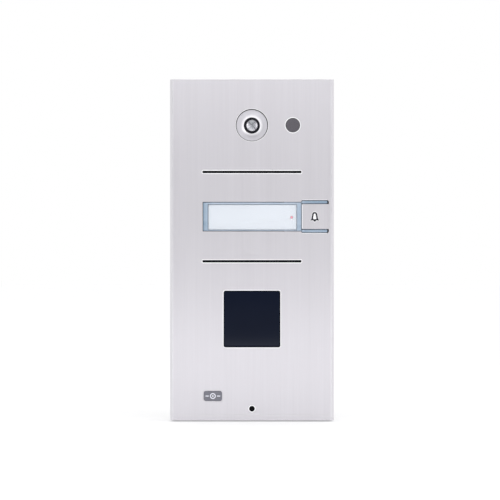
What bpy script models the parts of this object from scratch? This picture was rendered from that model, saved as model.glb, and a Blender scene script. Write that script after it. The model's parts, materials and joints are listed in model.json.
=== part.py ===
"""Door intercom panel: a wall housing and a hinged stainless cover that carries the electronics.

The origin is the middle of the back face, which lies on the wall. +X is the right side seen from
the front, -Y points out of the wall towards the visitor, and +Z is up.
"""
from math import cos, pi, radians, sin

import bmesh
import bpy
from mathutils import Matrix, Vector

MM = 0.001

# Driving dimensions of the whole panel.
WIDTH = 101 * MM
HEIGHT = 210 * MM
DEPTH = 29 * MM
SHEET = 1.5 * MM
BEND_RADIUS = 1.8 * MM
GAP = 0.3 * MM
PAST = 1 * MM
WALL_CLEARANCE = 1 * MM
CHAMFER_CENTRE = 0.6 * MM

FRONT = -DEPTH
SHEET_BACK = FRONT + SHEET
BEHIND_SHEET = SHEET_BACK + GAP

# Housing on the wall.
HOUSING_WIDTH = 95 * MM
HOUSING_HEIGHT = 194 * MM
HOUSING_DEPTH = 17.5 * MM
HOUSING_WALL = 2 * MM
HOUSING_FLOOR = 2.5 * MM
CABLE_HOLE_Z = -72 * MM
CABLE_HOLE_RADIUS = 8 * MM
WALL_SLOT_X = 30 * MM
WALL_SLOT_Z = 76 * MM
WALL_SLOT_WIDTH = 9 * MM
WALL_SLOT_HEIGHT = 4.5 * MM

# Hinge of the cover, at the top near the wall.
HINGE_Y = -4 * MM
HINGE_Z = 100.5 * MM
ROD_RADIUS = 1.2 * MM
HOOK_X = 30 * MM
HOOK_WIDTH = 8 * MM
LUG_OFFSET = 8 * MM

# Grub screws that lock the cover at the bottom.
LOCK_X = 32 * MM
LOCK_Y = -6.5 * MM
LOCK_SCREW_RADIUS = 1.55 * MM
LOCK_SCREW_LENGTH = 8 * MM
LOCK_INSERT_RADIUS = 3 * MM
LOCK_INSERT_TOP = -89 * MM
LOCK_BOSS_TOP = -88.5 * MM
LOCK_BOSS_HALF = 5 * MM
LOCK_BORE_START = -100 * MM
LOCK_BORE_END = -85 * MM

# End caps of the cover.
CAP_THICKNESS = 2.5 * MM
CAP_INSET = 0.3 * MM

# Module carrier, a moulded tray behind the sheet.
CARRIER_BACK = -20 * MM
CARRIER_FLOOR = 2 * MM
CARRIER_RIM = 1.6 * MM
CARRIER_TOP = 97.5 * MM
STUD_X = 41 * MM
STUD_Z = 60 * MM
STUD_RADIUS = 1.5 * MM

# Main board behind the carrier.
BOARD_FRONT = -16 * MM
BOARD_THICKNESS = 1.6 * MM
BOARD_BACK = BOARD_FRONT + BOARD_THICKNESS
BOARD_WIDTH = 88 * MM
BOARD_HEIGHT = 172 * MM
SMALL_BOARD = 0.8 * MM
BOARD_SCREW_X = 38 * MM
BOARD_SCREW_Z = 81 * MM

# Camera and light sensor, side by side near the top.
CAMERA_Z = 76.8 * MM
CAMERA_HOLE_RADIUS = 10 * MM
LENS_RADIUS = 4.85 * MM
CAMERA_HOUSING_FRONT = -24.6 * MM
SENSOR_X = 25.2 * MM
SENSOR_HOLE_RADIUS = 4.5 * MM

# Name window, its light guide and the call button beside it.
NAME_LEFT = -30.4 * MM
NAME_RIGHT = 30.6 * MM
NAME_BOTTOM = 11.3 * MM
NAME_TOP = 29.5 * MM
LABEL_LEFT = -27.2 * MM
LABEL_RIGHT = 27.8 * MM
LABEL_BOTTOM = 12.1 * MM
LABEL_TOP = 28.05 * MM
BUTTON_LEFT = 30.8 * MM
BUTTON_ROOT = 47.4 * MM
BUTTON_BOTTOM = 12.75 * MM
BUTTON_TOP = 28.2 * MM
BUTTON_SLOT = 2.4 * MM
BUTTON_Z = (BUTTON_BOTTOM + BUTTON_TOP) / 2
BELL_X = 38.7 * MM
PUSHER_X = 34 * MM
PLUNGER_FRONT = -26.3 * MM
STATUS_X = 24.5 * MM
STATUS_Z = 20 * MM

# Speaker slots and the speaker between them.
SLOT_LENGTH = 61 * MM
SLOT_HEIGHT = 1.3 * MM
UPPER_SLOT_Z = 47.95 * MM
LOWER_SLOT_Z = -7.1 * MM
SPEAKER_Z = (UPPER_SLOT_Z + LOWER_SLOT_Z) / 2

# Reader window, badge and microphone hole.
READER_Z = -42.7 * MM
READER_SIZE = 35 * MM
BADGE_X = -24.1 * MM
BADGE_Z = -90.15 * MM
BADGE_WIDTH = 11.2 * MM
BADGE_HEIGHT = 6.2 * MM
MIC_Z = -98 * MM
MIC_HOLE_RADIUS = 1.75 * MM

FACING_FRONT = (pi / 2, 0, 0)


def clear_scene():
    for item in list(bpy.data.objects):
        bpy.data.objects.remove(item, do_unlink=True)


def new_collection(name):
    collection = bpy.data.collections.new(name)
    bpy.context.scene.collection.children.link(collection)
    return collection


def finish(name, colour, roughness, metallic=0.0):
    """A plain Principled material."""
    material = bpy.data.materials.new(name)
    material.use_nodes = True
    shader = material.node_tree.nodes["Principled BSDF"]
    shader.inputs["Base Color"].default_value = (*colour, 1.0)
    shader.inputs["Roughness"].default_value = roughness
    shader.inputs["Metallic"].default_value = metallic
    material.diffuse_color = (*colour, 1.0)
    return material


def add_object(name, data, location, rotation=(0, 0, 0)):
    item = bpy.data.objects.new(name, data)
    item.location = location
    item.rotation_euler = rotation
    bpy.context.scene.collection.objects.link(item)
    return item


def mesh_from(name, fill_mesh):
    """A mesh made by fill_mesh, which gets an empty bmesh to work on."""
    mesh = bpy.data.meshes.new(name)
    shape = bmesh.new()
    fill_mesh(shape)
    shape.to_mesh(mesh)
    shape.free()
    return mesh


def box(name, left, right, front, back, bottom, top, round_edges=0.0):
    """A box between six planes, with its origin in its middle."""
    size = Vector((right - left, back - front, top - bottom))
    middle = Vector((left + right, front + back, bottom + top)) / 2

    def fill(shape):
        bmesh.ops.create_cube(shape, size=1.0, matrix=Matrix.Diagonal((*size, 1.0)))

    item = add_object(name, mesh_from(name, fill), middle)
    if round_edges:
        bevel = item.modifiers.new("Rounded edges", "BEVEL")
        bevel.width = round_edges
        bevel.segments = 2
        bevel.limit_method = "ANGLE"
    return item


def shade_round(item):
    item.data.shade_smooth()
    item.data.set_sharp_from_angle(angle=radians(35))


def rod(name, radius, start, end, sides=24):
    """A cylinder between two points, with its origin in its middle."""
    start = Vector(start)
    end = Vector(end)
    along = end - start

    def fill(shape):
        bmesh.ops.create_cone(shape, cap_ends=True, segments=sides, radius1=radius,
                              radius2=radius, depth=along.length)

    item = add_object(name, mesh_from(name, fill), (start + end) / 2)
    item.rotation_euler = along.to_track_quat("Z", "Y").to_euler()
    shade_round(item)
    return item


def turned(name, profile, x, z, sides=32):
    """A piece turned about a line along Y. The profile is a closed loop of (radius, y) points."""
    mesh = bpy.data.meshes.new(name)
    points = [(radius, y, 0) for radius, y in profile]
    count = len(points)
    area = sum(points[i - 1][0] * points[i][1] - points[i][0] * points[i - 1][1]
               for i in range(count))
    if area > 0:
        points.reverse()
    closed = profile[0][0] > 0
    edges = [(i, (i + 1) % count) for i in range(count if closed else count - 1)]
    mesh.from_pydata(points, edges, [])
    item = add_object(name, mesh, (x, 0, z))
    screw = item.modifiers.new("Turn", "SCREW")
    screw.axis = "Y"
    screw.steps = sides
    screw.render_steps = sides
    screw.use_merge_vertices = True
    screw.merge_threshold = 0.00001
    screw.use_smooth_shade = False
    return item


def arc(x, y, radius, start, end, steps):
    """Points along an arc, with the angles in degrees."""
    angles = [radians(start + (end - start) * i / steps) for i in range(steps + 1)]
    return [(x + radius * cos(angle), y + radius * sin(angle)) for angle in angles]


def rounded_rectangle(left, right, bottom, top, radius, steps=4):
    return (arc(right - radius, top - radius, radius, 0, 90, steps)
            + arc(left + radius, top - radius, radius, 90, 180, steps)
            + arc(left + radius, bottom + radius, radius, 180, 270, steps)
            + arc(right - radius, bottom + radius, radius, 270, 360, steps))


def flat_mesh(name, outlines, thickness):
    """A mesh of flat outlines, filled and extruded evenly to both sides of their plane."""
    curve = bpy.data.curves.new(name, "CURVE")
    curve.dimensions = "2D"
    curve.fill_mode = "BOTH"
    curve.extrude = thickness / 2
    for outline in outlines:
        spline = curve.splines.new("POLY")
        spline.points.add(len(outline) - 1)
        spline.use_cyclic_u = True
        for point, (x, y) in zip(spline.points, outline):
            point.co = (x, y, 0, 1)
    guide = add_object(name + "_curve", curve, (0, 0, 0))
    bpy.context.view_layer.update()
    evaluated = guide.evaluated_get(bpy.context.evaluated_depsgraph_get())
    mesh = bpy.data.meshes.new_from_object(evaluated)
    mesh.name = name
    bpy.data.objects.remove(guide, do_unlink=True)
    shape = bmesh.new()
    shape.from_mesh(mesh)
    bmesh.ops.remove_doubles(shape, verts=shape.verts, dist=0.000005)
    bmesh.ops.recalc_face_normals(shape, faces=shape.faces)
    shape.to_mesh(mesh)
    shape.free()
    return mesh


def slab(name, outlines, front, back):
    """Outlines in the X-Z plane, given thickness along Y."""
    mesh = flat_mesh(name, outlines, back - front)
    return add_object(name, mesh, (0, (front + back) / 2, 0), FACING_FRONT)


def bar(name, outlines, bottom, top):
    """Outlines in the X-Y plane, given height along Z."""
    mesh = flat_mesh(name, outlines, top - bottom)
    return add_object(name, mesh, (0, 0, (bottom + top) / 2))


def hang(item, parent):
    """Parent an item and keep it where it stands."""
    bpy.context.view_layer.update()
    item.parent = parent
    item.matrix_parent_inverse = parent.matrix_world.inverted()


def combine(target, tool, operation):
    """Cut a tool out of the target, or join it on. The tool itself is only a guide."""
    modifier = target.modifiers.new(operation.title(), "BOOLEAN")
    modifier.operation = operation
    modifier.object = tool
    modifier.solver = "EXACT"
    for collection in list(tool.users_collection):
        collection.objects.unlink(tool)
    cutters.objects.link(tool)
    tool.hide_render = True
    tool.display_type = "WIRE"
    hang(tool, target)


def cut(target, tool):
    combine(target, tool, "DIFFERENCE")


def join(target, tool):
    combine(target, tool, "UNION")


def part(item, material, body=None):
    """Give a finished piece its material, its place in the assembly and its moving body."""
    item.data.materials.clear()
    item.data.materials.append(material)
    for collection in list(item.users_collection):
        collection.objects.unlink(item)
    panel.objects.link(item)
    if body:
        hang(item, body)
    return item


def pivot(name, location, body=None):
    """An empty on a joint's axis."""
    empty = bpy.data.objects.new(name, None)
    empty.empty_display_size = 10 * MM
    empty.location = location
    panel.objects.link(empty)
    if body:
        hang(empty, body)
    return empty


# ---- Housing on the wall ----

def rear_housing():
    """A cast tray with wall slots, a cable hole, bosses for the locks and two upturned hooks."""
    half_width = HOUSING_WIDTH / 2
    half_height = HOUSING_HEIGHT / 2
    tray = slab("rear_housing", [rounded_rectangle(-half_width, half_width, -half_height,
                                                   half_height, 3 * MM)], -HOUSING_DEPTH, 0)
    inner_width = half_width - HOUSING_WALL
    inner_height = half_height - HOUSING_WALL
    cut(tray, slab("housing_inside", [rounded_rectangle(-inner_width, inner_width, -inner_height,
                                                        inner_height, 1.5 * MM)],
                   -HOUSING_DEPTH - 1 * MM, -HOUSING_FLOOR))
    for side in (-1, 1):
        boss_x = side * LOCK_X
        join(tray, box("lock_boss", boss_x - LOCK_BOSS_HALF, boss_x + LOCK_BOSS_HALF,
                       LOCK_Y - LOCK_BOSS_HALF, -HOUSING_FLOOR / 2,
                       -half_height + HOUSING_WALL / 2, LOCK_BOSS_TOP))
        hook_x = side * HOOK_X
        join(tray, box("hook_block", hook_x - HOOK_WIDTH / 2, hook_x + HOOK_WIDTH / 2,
                       HINGE_Y - 3 * MM, HINGE_Y + 3 * MM, half_height - PAST,
                       HINGE_Z + ROD_RADIUS))
    for side in (-1, 1):
        boss_x = side * LOCK_X
        cut(tray, rod("lock_hole", LOCK_INSERT_RADIUS + GAP, (boss_x, LOCK_Y, LOCK_BORE_START),
                      (boss_x, LOCK_Y, LOCK_BORE_END)))
        hook_left = side * HOOK_X - HOOK_WIDTH
        hook_right = side * HOOK_X + HOOK_WIDTH
        seat = ROD_RADIUS + GAP
        cut(tray, rod("hook_seat", seat, (hook_left, HINGE_Y, HINGE_Z),
                      (hook_right, HINGE_Y, HINGE_Z)))
        cut(tray, box("hook_mouth", hook_left, hook_right, HINGE_Y - seat, HINGE_Y + seat,
                      HINGE_Z, HINGE_Z + 3 * MM))
        for end in (-1, 1):
            slot_x = side * WALL_SLOT_X
            slot_z = end * WALL_SLOT_Z
            half_wide = WALL_SLOT_WIDTH / 2
            half_high = WALL_SLOT_HEIGHT / 2
            outline = rounded_rectangle(slot_x - half_wide, slot_x + half_wide,
                                        slot_z - half_high, slot_z + half_high, 2.2 * MM)
            cut(tray, slab("wall_slot", [outline], -HOUSING_FLOOR - PAST, PAST))
    cut(tray, rod("cable_hole", CABLE_HOLE_RADIUS, (0, -HOUSING_FLOOR - PAST, CABLE_HOLE_Z),
                  (0, PAST, CABLE_HOLE_Z), sides=32))
    part(tray, cast_metal)


def housing_seal():
    """A rubber ring on the rim of the housing."""
    outer = rounded_rectangle(-HOUSING_WIDTH / 2, HOUSING_WIDTH / 2, -HOUSING_HEIGHT / 2,
                              HOUSING_HEIGHT / 2, 3 * MM)
    inner_x = HOUSING_WIDTH / 2 - HOUSING_WALL
    inner_z = HOUSING_HEIGHT / 2 - HOUSING_WALL
    inner = rounded_rectangle(-inner_x, inner_x, -inner_z, inner_z, 1.5 * MM)
    part(slab("housing_seal", [outer, inner], CARRIER_BACK + GAP, -HOUSING_DEPTH - GAP),
         black_rubber)


def cable_grommet():
    """A rubber bush in the cable hole, with its flange inside the housing."""
    flange = 10 * MM
    neck = CABLE_HOLE_RADIUS - GAP
    bore = 4.5 * MM
    flange_front = -HOUSING_FLOOR - 2 * MM
    flange_back = -HOUSING_FLOOR - GAP
    profile = [(bore, flange_front), (flange, flange_front), (flange, flange_back),
               (neck, flange_back), (neck, -GAP), (bore, -GAP)]
    part(turned("cable_grommet", profile, 0, CABLE_HOLE_Z), black_rubber)


def lock(side, side_name):
    """One threaded insert in the housing and its grub screw, drawn back to its unlocked place."""
    x = side * LOCK_X
    bottom = -HOUSING_HEIGHT / 2
    insert = rod("lock_insert_" + side_name, LOCK_INSERT_RADIUS, (x, LOCK_Y, bottom + GAP),
                 (x, LOCK_Y, LOCK_INSERT_TOP))
    cut(insert, rod("insert_bore", LOCK_SCREW_RADIUS + GAP, (x, LOCK_Y, LOCK_BORE_START),
                    (x, LOCK_Y, LOCK_BORE_END)))
    part(insert, brass)
    middle = (x, LOCK_Y, bottom + GAP + LOCK_SCREW_LENGTH / 2)
    body = pivot("lock_pivot_" + side_name, middle)
    screw = rod("lock_screw_" + side_name, LOCK_SCREW_RADIUS, (x, LOCK_Y, bottom + GAP),
                (x, LOCK_Y, bottom + GAP + LOCK_SCREW_LENGTH))
    socket_radius = 0.8 * MM
    socket_depth = 2 * MM
    cut(screw, rod("hex_socket", socket_radius, (x, LOCK_Y, bottom - PAST),
                   (x, LOCK_Y, bottom + GAP + socket_depth), sides=6))
    part(screw, plain_steel, body)


# ---- Cover: the sheet, its end caps and the hinge rod ----

def front_plate(cover):
    """The stainless cover, bent from one sheet, with all its openings and four weld studs."""
    half = WIDTH / 2
    back = -WALL_CLEARANCE
    inner = half - SHEET
    outer_left = arc(-half + BEND_RADIUS, FRONT + BEND_RADIUS, BEND_RADIUS, 180, 270, 6)
    outer_right = arc(half - BEND_RADIUS, FRONT + BEND_RADIUS, BEND_RADIUS, 270, 360, 6)
    outline = ([(-half, back)] + outer_left + outer_right
               + [(half, back), (inner, back), (inner, SHEET_BACK), (-inner, SHEET_BACK),
                  (-inner, back)])
    plate = bar("front_plate", [outline], -HEIGHT / 2, HEIGHT / 2)
    through_front = FRONT - 1 * MM
    through_back = SHEET_BACK + 1 * MM

    def round_hole(name, radius, x, z):
        cut(plate, rod(name, radius, (x, through_front, z), (x, through_back, z), sides=32))

    def opening(name, outline):
        cut(plate, slab(name, [outline], through_front, through_back))

    for side in (-1, 1):
        for end in (-1, 1):
            join(plate, rod("weld_stud", STUD_RADIUS,
                            (side * STUD_X, SHEET_BACK - 0.5 * MM, end * STUD_Z),
                            (side * STUD_X, BOARD_FRONT - 1 * MM, end * STUD_Z), sides=12))
    round_hole("camera_hole", CAMERA_HOLE_RADIUS, 0, CAMERA_Z)
    round_hole("sensor_hole", SENSOR_HOLE_RADIUS, SENSOR_X, CAMERA_Z)
    round_hole("microphone_hole", MIC_HOLE_RADIUS, 0, MIC_Z)
    for slot_z in (UPPER_SLOT_Z, LOWER_SLOT_Z):
        cut(plate, box("speaker_slot", -SLOT_LENGTH / 2, SLOT_LENGTH / 2, through_front,
                       through_back, slot_z - SLOT_HEIGHT / 2, slot_z + SLOT_HEIGHT / 2))
    cut(plate, box("name_opening", NAME_LEFT, NAME_RIGHT, through_front, through_back,
                   NAME_BOTTOM, NAME_TOP))
    opening("button_opening", rounded_rectangle(NAME_RIGHT - GAP, BUTTON_ROOT,
                                                BUTTON_BOTTOM - BUTTON_SLOT,
                                                BUTTON_TOP + BUTTON_SLOT, 1.2 * MM))
    half_reader = READER_SIZE / 2
    opening("reader_opening", rounded_rectangle(-half_reader, half_reader, READER_Z - half_reader,
                                                READER_Z + half_reader, 1.2 * MM))
    cut(plate, slab("badge_pocket", [badge_outline(GAP)], through_front, FRONT + 0.8 * MM))
    for side in (-1, 1):
        reach = 4 * MM
        chamfer = box("corner_chamfer", side * half - reach, side * half + reach, -reach, reach,
                      -reach, reach)
        chamfer.rotation_euler = (radians(45), 0, 0)
        chamfer.location = (side * half, CHAMFER_CENTRE, HEIGHT / 2 + CHAMFER_CENTRE)
        cut(plate, chamfer)
    part(plate, satin_steel, cover)


def top_end_cap(cover):
    """The cap that closes the top of the cover. Its four lugs carry the hinge rod."""
    half = WIDTH / 2 - SHEET - CAP_INSET
    top = HEIGHT / 2 - CAP_INSET
    under = top - CAP_THICKNESS
    cap = box("top_end_cap", -half, half, BEHIND_SHEET, HINGE_Y - 0.5 * MM, under, top)
    for side in (-1, 1):
        for offset in (-LUG_OFFSET, LUG_OFFSET):
            lug_x = side * HOOK_X + offset
            join(cap, box("hinge_lug", lug_x - 2 * MM, lug_x + 2 * MM, HINGE_Y - 2.5 * MM,
                          HINGE_Y + 2 * MM, HINGE_Z - 2 * MM, under + 0.5 * MM))
    cut(cap, rod("rod_bore", ROD_RADIUS + GAP, (-45 * MM, HINGE_Y, HINGE_Z),
                 (45 * MM, HINGE_Y, HINGE_Z)))
    part(cap, grey_plastic, cover)


def hinge_rod(cover):
    length = HOOK_X + LUG_OFFSET + 4 * MM
    part(rod("hinge_rod", ROD_RADIUS, (-length, HINGE_Y, HINGE_Z), (length, HINGE_Y, HINGE_Z)),
         plain_steel, cover)


def bottom_end_cap(cover):
    """The cap that closes the bottom of the cover, with a hole under each lock screw."""
    half = WIDTH / 2 - SHEET - CAP_INSET
    bottom = -HEIGHT / 2 + CAP_INSET
    cap = box("bottom_end_cap", -half, half, BEHIND_SHEET, -WALL_CLEARANCE - CAP_INSET, bottom,
              bottom + CAP_THICKNESS)
    for side in (-1, 1):
        cut(cap, rod("key_hole", LOCK_SCREW_RADIUS + GAP,
                     (side * LOCK_X, LOCK_Y, bottom - 1 * MM),
                     (side * LOCK_X, LOCK_Y, bottom + CAP_THICKNESS + 1 * MM)))
    part(cap, grey_plastic, cover)


def module_carrier(cover):
    """The moulded tray that holds every module against the sheet."""
    half = WIDTH / 2 - SHEET - CAP_INSET
    bottom = -CARRIER_TOP
    carrier = slab("module_carrier", [rounded_rectangle(-half, half, bottom, CARRIER_TOP,
                                                        1 * MM, 2)], BEHIND_SHEET, CARRIER_BACK)
    floor_front = CARRIER_BACK - CARRIER_FLOOR
    cut(carrier, box("carrier_inside", -half + CARRIER_RIM, half - CARRIER_RIM,
                     BEHIND_SHEET - 1 * MM, floor_front, bottom + CARRIER_RIM,
                     CARRIER_TOP - CARRIER_RIM))
    back = CARRIER_BACK + 1 * MM
    for side in (-1, 1):
        for end in (-1, 1):
            x = side * BOARD_SCREW_X
            z = end * BOARD_SCREW_Z
            join(carrier, rod("board_boss", 3 * MM, (x, CARRIER_BACK - 1 * MM, z),
                              (x, BOARD_FRONT - GAP, z), sides=16))
            cut(carrier, rod("boss_hole", 1.3 * MM, (x, floor_front - 1 * MM, z),
                             (x, BOARD_FRONT, z), sides=12))
            cut(carrier, rod("stud_hole", STUD_RADIUS + GAP,
                             (side * STUD_X, floor_front - 1 * MM, end * STUD_Z),
                             (side * STUD_X, back, end * STUD_Z), sides=12))
    camera_half = 11.3 * MM
    cut(carrier, box("camera_port", -camera_half, camera_half, floor_front - 1 * MM, back,
                     CAMERA_Z - camera_half, CAMERA_Z + camera_half))
    cut(carrier, rod("sensor_port", 6.3 * MM, (SENSOR_X, floor_front - 1 * MM, CAMERA_Z),
                     (SENSOR_X, back, CAMERA_Z)))
    cut(carrier, rod("speaker_port", 22.5 * MM, (0, floor_front - 1 * MM, SPEAKER_Z),
                     (0, back, SPEAKER_Z), sides=32))
    cut(carrier, rod("microphone_notch", 4.2 * MM, (0, BEHIND_SHEET - 1 * MM, MIC_Z),
                     (0, floor_front - 1 * MM, MIC_Z)))
    part(carrier, black_plastic, cover)


def carrier_nuts(cover):
    number = 0
    for end in (1, -1):
        for side in (-1, 1):
            number += 1
            x = side * STUD_X
            z = end * STUD_Z
            front = CARRIER_BACK + GAP
            nut = rod(f"carrier_nut_{number}", 3.1 * MM, (x, front, z),
                      (x, front + 2.2 * MM, z), sides=6)
            cut(nut, rod("nut_bore", STUD_RADIUS + GAP, (x, front - 1 * MM, z),
                         (x, front + 4 * MM, z), sides=12))
            part(nut, plain_steel, cover)


# ---- Camera and light sensor ----

def camera(cover):
    """Bezel, lens barrel, lens, housing and image board, from front to back."""
    rim = CAMERA_HOLE_RADIUS - GAP
    throat = LENS_RADIUS + GAP
    flange = 12 * MM
    flange_back = BEHIND_SHEET + 1.3 * MM
    bezel_front = FRONT + 0.1 * MM
    bezel_back = CAMERA_HOUSING_FRONT - GAP
    dish_floor = bezel_front + 2.9 * MM
    bezel = turned("camera_bezel", [
        (rim, bezel_front), (rim, BEHIND_SHEET), (flange, BEHIND_SHEET), (flange, flange_back),
        (rim, flange_back), (rim, bezel_back), (throat, bezel_back), (throat, dish_floor),
        (rim - 0.5 * MM, bezel_front)], 0, CAMERA_Z, sides=48)
    part(bezel, satin_silver, cover)

    pocket = 3.95 * MM
    barrel_front = FRONT + 2.6 * MM
    barrel_length = 7.4 * MM
    barrel_back = barrel_front + barrel_length
    pocket_floor = CAMERA_HOUSING_FRONT
    barrel = turned("lens_barrel", [
        (0, barrel_back), (LENS_RADIUS, barrel_back), (LENS_RADIUS, barrel_front),
        (pocket, barrel_front), (pocket, pocket_floor), (0, pocket_floor)], 0, CAMERA_Z)
    part(barrel, gloss_black, cover)

    glass_radius = pocket - GAP
    glass_back = pocket_floor - GAP
    glass_edge = glass_back - 0.5 * MM
    crown = 0.8 * MM
    dome = [(glass_radius * cos(radians(angle)), glass_edge - crown * sin(radians(angle)))
            for angle in (0, 30, 60)]
    part(turned("lens_glass", [(0, glass_back), (glass_radius, glass_back)] + dome
                + [(0, glass_edge - crown)], 0, CAMERA_Z), clear_glass, cover)

    half = 11 * MM
    house_back = CAMERA_HOUSING_FRONT + 6.1 * MM
    house = box("camera_housing", -half, half, CAMERA_HOUSING_FRONT, house_back,
                CAMERA_Z - half, CAMERA_Z + half)
    cut(house, rod("barrel_bore", throat, (0, CAMERA_HOUSING_FRONT - PAST, CAMERA_Z),
                   (0, house_back + PAST, CAMERA_Z)))
    part(house, black_plastic, cover)
    board_front = house_back + GAP
    part(box("camera_board", -half, half, board_front, board_front + 1 * MM, CAMERA_Z - half,
             CAMERA_Z + half), green_board, cover)


def light_sensor(cover):
    """A grey window in the sheet, a light-tight tube behind it and the photodiode inside."""
    lens = SENSOR_HOLE_RADIUS - GAP
    flange = 6 * MM
    window_front = FRONT + 0.1 * MM
    window_back = BEHIND_SHEET + 1 * MM
    window = turned("light_sensor_window", [
        (0, window_back), (flange, window_back), (flange, BEHIND_SHEET), (lens, BEHIND_SHEET),
        (lens, window_front), (0, window_front)], SENSOR_X, CAMERA_Z)
    part(window, grey_window, cover)
    tube_bore = 4 * MM
    tube_front = window_back + GAP
    tube_back = BOARD_FRONT - 1.5 * MM
    tube = turned("light_sensor_tube", [
        (flange, tube_front), (flange, tube_back), (tube_bore, tube_back),
        (tube_bore, tube_front)], SENSOR_X, CAMERA_Z)
    part(tube, black_plastic, cover)
    diode_radius = 2.5 * MM
    diode_front = BOARD_FRONT - 4 * MM
    part(rod("photodiode", diode_radius, (SENSOR_X, diode_front, CAMERA_Z),
             (SENSOR_X, BOARD_FRONT - GAP, CAMERA_Z), sides=16), clear_glass, cover)


# ---- Name window and call button ----

def name_row(cover):
    """Light guide with two arms round the button, label, clear window, status lamp and board."""
    guide_front = FRONT + 0.7 * MM
    guide_back = -25.6 * MM
    pocket_floor = -26.9 * MM
    guide = box("light_guide", NAME_LEFT + GAP, NAME_RIGHT - GAP, guide_front, guide_back,
                NAME_BOTTOM + GAP, NAME_TOP - GAP)
    for middle_z in (BUTTON_BOTTOM - BUTTON_SLOT / 2, BUTTON_TOP + BUTTON_SLOT / 2):
        low = middle_z - BUTTON_SLOT / 2 + GAP
        high = middle_z + BUTTON_SLOT / 2 - GAP
        inset = 0.2 * MM
        join(guide, box("guide_arm", 20 * MM, BUTTON_ROOT - GAP - inset, BEHIND_SHEET,
                        guide_back - inset, low + inset, high - inset))
        rib = rounded_rectangle(NAME_RIGHT + GAP, BUTTON_ROOT - GAP, low, high, 0.8 * MM, 3)
        join(guide, slab("guide_rib", [rib], guide_front, BEHIND_SHEET + 0.5 * MM))
    cut(guide, box("label_pocket", LABEL_LEFT, LABEL_RIGHT, FRONT - PAST, pocket_floor,
                   LABEL_BOTTOM, LABEL_TOP))
    status_hole = 1.05 * MM
    hole_start = (STATUS_X, FRONT - PAST, STATUS_Z)
    hole_end = (STATUS_X, guide_back + PAST, STATUS_Z)
    cut(guide, rod("status_hole", status_hole, hole_start, hole_end, sides=16))
    part(guide, blue_acrylic, cover)

    card = (LABEL_LEFT + GAP, LABEL_RIGHT - GAP, LABEL_BOTTOM + GAP, LABEL_TOP - GAP)
    label_back = pocket_floor - GAP
    label_front = label_back - 0.3 * MM
    label = box("name_label", card[0], card[1], label_front, label_back, card[2], card[3])
    cut(label, rod("label_hole", status_hole, hole_start, hole_end, sides=16))
    part(label, white_card, cover)
    window_back = label_front - GAP
    window_front = window_back - 0.6 * MM
    part(box("name_window", card[0], card[1], window_front, window_back, card[2], card[3]),
         clear_glass, cover)
    part(rod("status_led", 0.75 * MM, (STATUS_X, label_front + 0.1 * MM, STATUS_Z),
             (STATUS_X, guide_back, STATUS_Z), sides=16), red_lamp, cover)
    board_front = guide_back + GAP
    board_inset = 0.5 * MM
    part(box("backlight_board", NAME_LEFT + 2 * board_inset, NAME_RIGHT - 4 * board_inset,
             board_front, board_front + SMALL_BOARD, NAME_BOTTOM + board_inset,
             NAME_TOP - board_inset), green_board, cover)


def bell_outline(margin=0.0):
    """A hand bell: a dome on a flared rim, with its clapper below, grown by the margin."""
    dome_radius = 1.45 * MM + margin
    dome_z = BUTTON_Z + 1.1 * MM
    rim_half = 2.45 * MM + margin
    rim_top = BUTTON_Z - 1.65 * MM + margin
    rim_bottom = BUTTON_Z - 2.25 * MM - margin
    clapper_radius = 0.75 * MM + margin
    clapper_z = rim_bottom
    dome = arc(BELL_X, dome_z, dome_radius, 0, 180, 10)
    clapper = arc(BELL_X, clapper_z, clapper_radius, 195, 345, 6)
    return ([(BELL_X + rim_half, rim_top)] + dome + [(BELL_X - rim_half, rim_top),
                                                     (BELL_X - rim_half, rim_bottom)]
            + clapper + [(BELL_X + rim_half, rim_bottom)])


def call_button(button):
    """The sprung tongue of the sheet that is pressed, its bell mark and the pad behind it."""
    outline = rounded_rectangle(BUTTON_LEFT, BUTTON_ROOT - GAP, BUTTON_BOTTOM, BUTTON_TOP,
                                0.2 * MM, 1)
    tongue = slab("call_button", [outline], FRONT, SHEET_BACK)
    mark_depth = 0.3 * MM
    cut(tongue, slab("bell_pocket", [bell_outline(GAP)], FRONT - 1 * MM,
                     FRONT + mark_depth + GAP))
    part(tongue, satin_steel, button)
    part(slab("bell_mark", [bell_outline()], FRONT, FRONT + mark_depth), black_plastic, button)
    pad = 2 * MM
    part(box("button_pusher", PUSHER_X - pad, PUSHER_X + pad, BEHIND_SHEET, -26.6 * MM,
             BUTTON_Z - pad, BUTTON_Z + pad), black_rubber, button)


def call_switch(cover, plunger):
    """The tactile switch on its board, and the plunger that the button presses."""
    half = 3 * MM
    body_front = -25.6 * MM
    board_front = -23.1 * MM
    board_left = PUSHER_X - half
    board_width = 13 * MM
    plunger_radius = 1.7 * MM
    plunger_length = 2.2 * MM
    body = box("switch_body", PUSHER_X - half, PUSHER_X + half, body_front, board_front - GAP,
               BUTTON_Z - half, BUTTON_Z + half)
    cut(body, rod("plunger_bore", plunger_radius + GAP, (PUSHER_X, body_front - PAST, BUTTON_Z),
                  (PUSHER_X, board_front + PAST, BUTTON_Z)))
    part(body, black_plastic, cover)
    part(box("button_board", board_left, board_left + board_width, board_front,
             board_front + SMALL_BOARD, BUTTON_BOTTOM, BUTTON_TOP), green_board, cover)
    part(rod("switch_plunger", plunger_radius, (PUSHER_X, PLUNGER_FRONT, BUTTON_Z),
             (PUSHER_X, PLUNGER_FRONT + plunger_length, BUTTON_Z)), grey_plastic, plunger)


# ---- Speaker and microphone ----

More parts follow.
